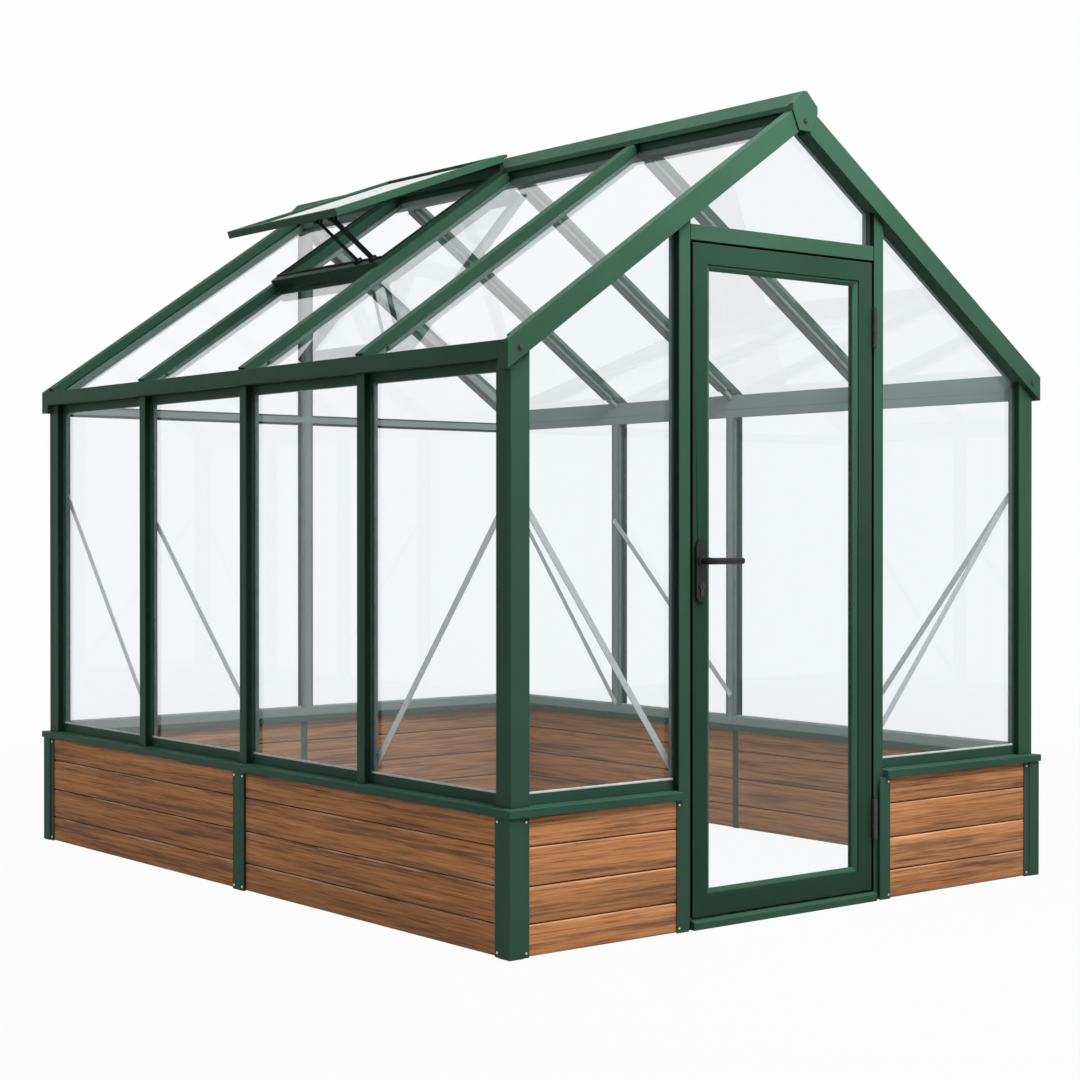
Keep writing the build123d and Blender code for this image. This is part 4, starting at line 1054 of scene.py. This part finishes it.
class GREENHOUSE_OT_hinge_tips(bpy.types.Operator):
    """Close both ends of each hinge barrel with a domed tip"""

    bl_idname = "greenhouse.hinge_tips"
    bl_label = "Hinge tips"

    barrel, rise, share, sunk = 0.110, 0.0042, 0.92, 0.0004

    def execute(self, context):
        radius = (HINGE_HIGH.x - HINGE_LOW.x) / 2
        x, y = (HINGE_LOW.x + HINGE_HIGH.x) / 2, HINGE_LOW.y + radius
        turn = np.linspace(0.0, pi / 2, 6)[:-1]
        round_part = self.share * radius
        dome = np.stack([round_part * np.cos(turn), self.rise * np.sin(turn)], axis=-1)
        upper, lower = HINGE_HIGH.z - self.barrel, HINGE_LOW.z + self.barrel
        heights = HINGE_LOW.z, lower, upper, HINGE_HIGH.z
        places = [(x, y, z) for z in heights]
        normals = [DOWN, UP] * 2
        outline = np.concatenate([[(round_part, -self.sunk)], dome])
        rings = set_at(turned(outline, 20), places, normals)
        piece("hinge_tips", rings, finish("hinge_metal"), "house", 50.0)
        return {"FINISHED"}


class GREENHOUSE_OT_vent_fittings(bpy.types.Operator):
    """Fit the rubber on the vent's curb, the pins of its stays and the round bar at its head"""

    bl_idname = "greenhouse.vent_fittings"
    bl_label = "Vent fittings"

    curb_run, curb_body, top_run = 0.608, 0.034, 0.062  # down the slope
    sash_length, sash_rail, pivot_z = 0.688, 0.034, 2.2494
    stay_foot_height, stay_shares = 0.012, (0.07, 0.2)
    hinge_lift, hinge_out, round_off, rail_room = 0.004, 0.002, 0.0012, 0.001

    def execute(self, context):
        sizes = context.scene.greenhouse_vent
        front, back = CURB_LOW.y, CURB_HIGH.y
        half, top = sizes.seal_width / 2, CURB_TOP - sizes.seal_height
        outline = rounded_outline((-half, top), (half, CURB_TOP + SUNK), self.round_off)
        inward, down = into_slope(LEFT), down_slope(LEFT)
        runs = []
        for y in (front + CURB_STRIP / 2, back - CURB_STRIP / 2):
            line = (roof_point(LEFT, run, 0.0, y) for run in (self.top_run, self.curb_run))
            runs.append((*line, to_y(1.0), inward))
        run = self.curb_run + half + self.rail_room
        line = (roof_point(LEFT, run, 0.0, y) for y in (front, back))
        runs.append((*line, down, inward))
        rings = carried(outline, runs)
        piece("vent_seals", rings, finish("seal_rubber"), "house")
        self.pins(sizes)
        hinge = round_outline(sizes.hinge_radius, 14)
        x, z = SASH_HIGH.x + self.hinge_out, SASH_HIGH.z - self.hinge_lift
        line = (x, SASH_LOW.y, z), (x, SASH_HIGH.y, z)
        rings = carried(hinge, [(*line, to_x(1.0), UP)])
        piece("vent_hinge", rings, finish("green_coat"), "house")
        return {"FINISHED"}

    def pins(self, sizes):
        """Pins across the foot and the shoe of each stay: a bar along Y with domed ends."""
        shape = (0.45, -1.0), (0.85, -0.95), (1.0, -0.86), (1.0, 0.86), (0.85, 0.95), (0.45, 1.0)
        outline = scaled(shape, sizes.pin_radius, sizes.pin_reach)
        half = self.stay_foot_height / 2
        foot_run = self.curb_run + self.curb_body / 2
        shoe_run = self.sash_length - self.sash_rail / 2
        shoe_x = SASH_HIGH.x - shoe_run * cos(sizes.slope) + half * sin(sizes.slope)
        shoe_z = self.pivot_z - shoe_run * sin(sizes.slope) - half * cos(sizes.slope)
        places = []
        for share in self.stay_shares:
            y = CURB_LOW.y + share * (CURB_HIGH.y - CURB_LOW.y)
            places.append(roof_point(LEFT, foot_run, CURB_TOP - half, y))
            places.append((shoe_x, y, shoe_z))
        rings = set_at(turned(outline, 14), places, [to_y(1.0)] * len(places))
        piece("vent_pins", rings, finish("bolt_dark"), "house", 50.0)


class GREENHOUSE_OT_stage(bpy.types.Operator):
    """Set up the pale floor, the soft lamps, the white surround and the camera"""

    bl_idname = "greenhouse.stage"
    bl_label = "Stage"

    white = 0.992
    near, far = 2.6, 7.5

    def execute(self, context):
        sizes = context.scene.greenhouse_stage
        scene = context.scene
        scene.view_settings.view_transform = "Standard"
        self.floor(sizes)
        self.surround(scene, sizes)
        self.lamp("key_lamp", (0.0, -2.7, 3.9), (0.0, -1.1, 1.6), 2.4, sizes.key_power)
        self.lamp("fill_lamp", (-6.0, 1.0, 3.0), (-1.0, 0.0, 0.8), 4.0, sizes.fill_power)
        self.lamp("top_lamp", (-0.6, -0.4, 7.5), (0.0, 0.0, 1.0), 5.0, sizes.top_power)
        self.lamp("back_lamp", (4.5, 5.5, 3.5), (0.0, 0.0, 1.0), 4.0, sizes.back_power)
        view = bpy.data.cameras.new("camera")
        view.lens = sizes.lens
        view.sensor_width = 36.0
        view.clip_end = 300.0
        camera = bpy.data.objects.new("camera", view)
        camera.location = sizes.camera_place
        camera.rotation_euler = (pi / 2 + sizes.tilt, 0.0, -sizes.heading)
        scene.collection.objects.link(camera)
        scene.camera = camera
        return {"FINISHED"}

    @staticmethod
    def seen(tree):
        """1 for rays from the camera, a mirror or through glass, else 0."""
        path = node(tree, "LightPath").outputs
        first = maths(tree, "MAXIMUM", path["Is Camera Ray"], path["Is Glossy Ray"])
        return maths(tree, "MAXIMUM", first, path["Is Transmission Ray"])

    def floor(self, sizes):
        """A flat square at ground level: corners at plus and minus its reach."""
        span = np.array([-1.0, 1.0]) * sizes.floor_reach
        x, y = np.meshgrid(span, span)
        points = np.stack([x, y, np.full_like(x, -SUNK)], axis=-1).reshape(-1, 3)
        mesh = bpy.data.meshes.new("studio_floor")
        mesh.from_pydata(points.tolist(), [], [(0, 1, 3, 2)])
        made, tree = new_finish("floor_pale")
        dull = node(tree, "BsdfDiffuse", {"Color": (*sizes.floor_colour, 1.0)})
        shade = (self.white, self.white, self.white, 1.0)
        white = node(tree, "Emission", {"Color": shade, "Strength": 1.0})
        away = node(tree, "VectorMath", {0: place_in(tree)}, operation="LENGTH")
        limits = sizes.near_white, 1.0, self.near, self.far
        pale = ranged(tree, away.outputs["Value"], *limits)
        share = maths(tree, "MULTIPLY", self.seen(tree), pale)
        sides = {0: share, 1: dull.outputs["BSDF"], 2: white.outputs["Emission"]}
        shown(tree, node(tree, "MixShader", sides).outputs["Shader"])
        mesh.materials.append(made)
        ground = bpy.data.objects.new("studio_floor", mesh)
        bpy.context.scene.collection.objects.link(ground)

    def surround(self, scene, sizes):
        """White where it is seen, and a softer level where it lights the house."""
        world = bpy.data.worlds.new("surround")
        world.use_nodes = True
        tree = world.node_tree
        tree.nodes.clear()
        strength = ranged(tree, self.seen(tree), sizes.sky_level, self.white)
        values = {"Color": (1.0, 1.0, 1.0, 1.0), "Strength": strength}
        light = node(tree, "Background", values)
        node(tree, "OutputWorld", {"Surface": light.outputs["Background"]})
        scene.world = world

    def lamp(self, name, place, aim, side, power):
        """A square soft lamp turned towards a point, which no pane mirrors or shows."""
        light = bpy.data.lights.new(name, "AREA")
        light.shape = "SQUARE"
        light.size = side
        light.energy = power
        made = bpy.data.objects.new(name, light)
        made.location = place
        made.visible_camera = made.visible_glossy = made.visible_transmission = False
        made.rotation_euler = (Vector(aim) - Vector(place)).to_track_quat("-Z", "Y").to_euler()
        bpy.context.scene.collection.objects.link(made)


GROUPS = {
    "greenhouse_finishes": GreenhouseFinishes,
    "greenhouse_boards": GreenhouseBoards,
    "greenhouse_fasteners": GreenhouseFasteners,
    "greenhouse_seals": GreenhouseSeals,
    "greenhouse_handle": GreenhouseHandle,
    "greenhouse_vent": GreenhouseVent,
    "greenhouse_stage": GreenhouseStage,
}
OPERATORS = (
    GREENHOUSE_OT_frame_finish,
    GREENHOUSE_OT_wall_boards,
    GREENHOUSE_OT_screws,
    GREENHOUSE_OT_bolts,
    GREENHOUSE_OT_glazing_seals,
    GREENHOUSE_OT_door_stop,
    GREENHOUSE_OT_lever_handle,
    GREENHOUSE_OT_hinge_tips,
    GREENHOUSE_OT_vent_fittings,
    GREENHOUSE_OT_stage,
)


class GREENHOUSE_PT_panel(bpy.types.Panel):
    """Sizes, colours and steps of the greenhouse"""

    bl_idname = "GREENHOUSE_PT_panel"
    bl_label = "Glass greenhouse"
    bl_space_type = "VIEW_3D"
    bl_region_type = "UI"
    bl_category = "Greenhouse"

    def draw(self, context):
        for step in OPERATORS:
            self.layout.operator(step.bl_idname)
        for name, group in GROUPS.items():
            box = self.layout.box()
            for key in group.__annotations__:
                box.prop(getattr(context.scene, name), key)


def register():
    for group in GROUPS.values():
        bpy.utils.register_class(group)
    for name, group in GROUPS.items():
        setattr(bpy.types.Scene, name, PointerProperty(type=group))
    for step in OPERATORS:
        bpy.utils.register_class(step)
    bpy.utils.register_class(GREENHOUSE_PT_panel)


def unregister():
    bpy.utils.unregister_class(GREENHOUSE_PT_panel)
    for step in reversed(OPERATORS):
        bpy.utils.unregister_class(step)
    for name, group in GROUPS.items():
        delattr(bpy.types.Scene, name)
        bpy.utils.unregister_class(group)


def main():
    register()
    bpy.ops.greenhouse.frame_finish()
    bpy.ops.greenhouse.wall_boards()
    bpy.ops.greenhouse.screws()
    bpy.ops.greenhouse.bolts()
    bpy.ops.greenhouse.glazing_seals()
    bpy.ops.greenhouse.door_stop()
    bpy.ops.greenhouse.lever_handle()
    bpy.ops.greenhouse.hinge_tips()
    bpy.ops.greenhouse.vent_fittings()
    bpy.ops.greenhouse.stage()


if __name__ == "__main__":
    main()
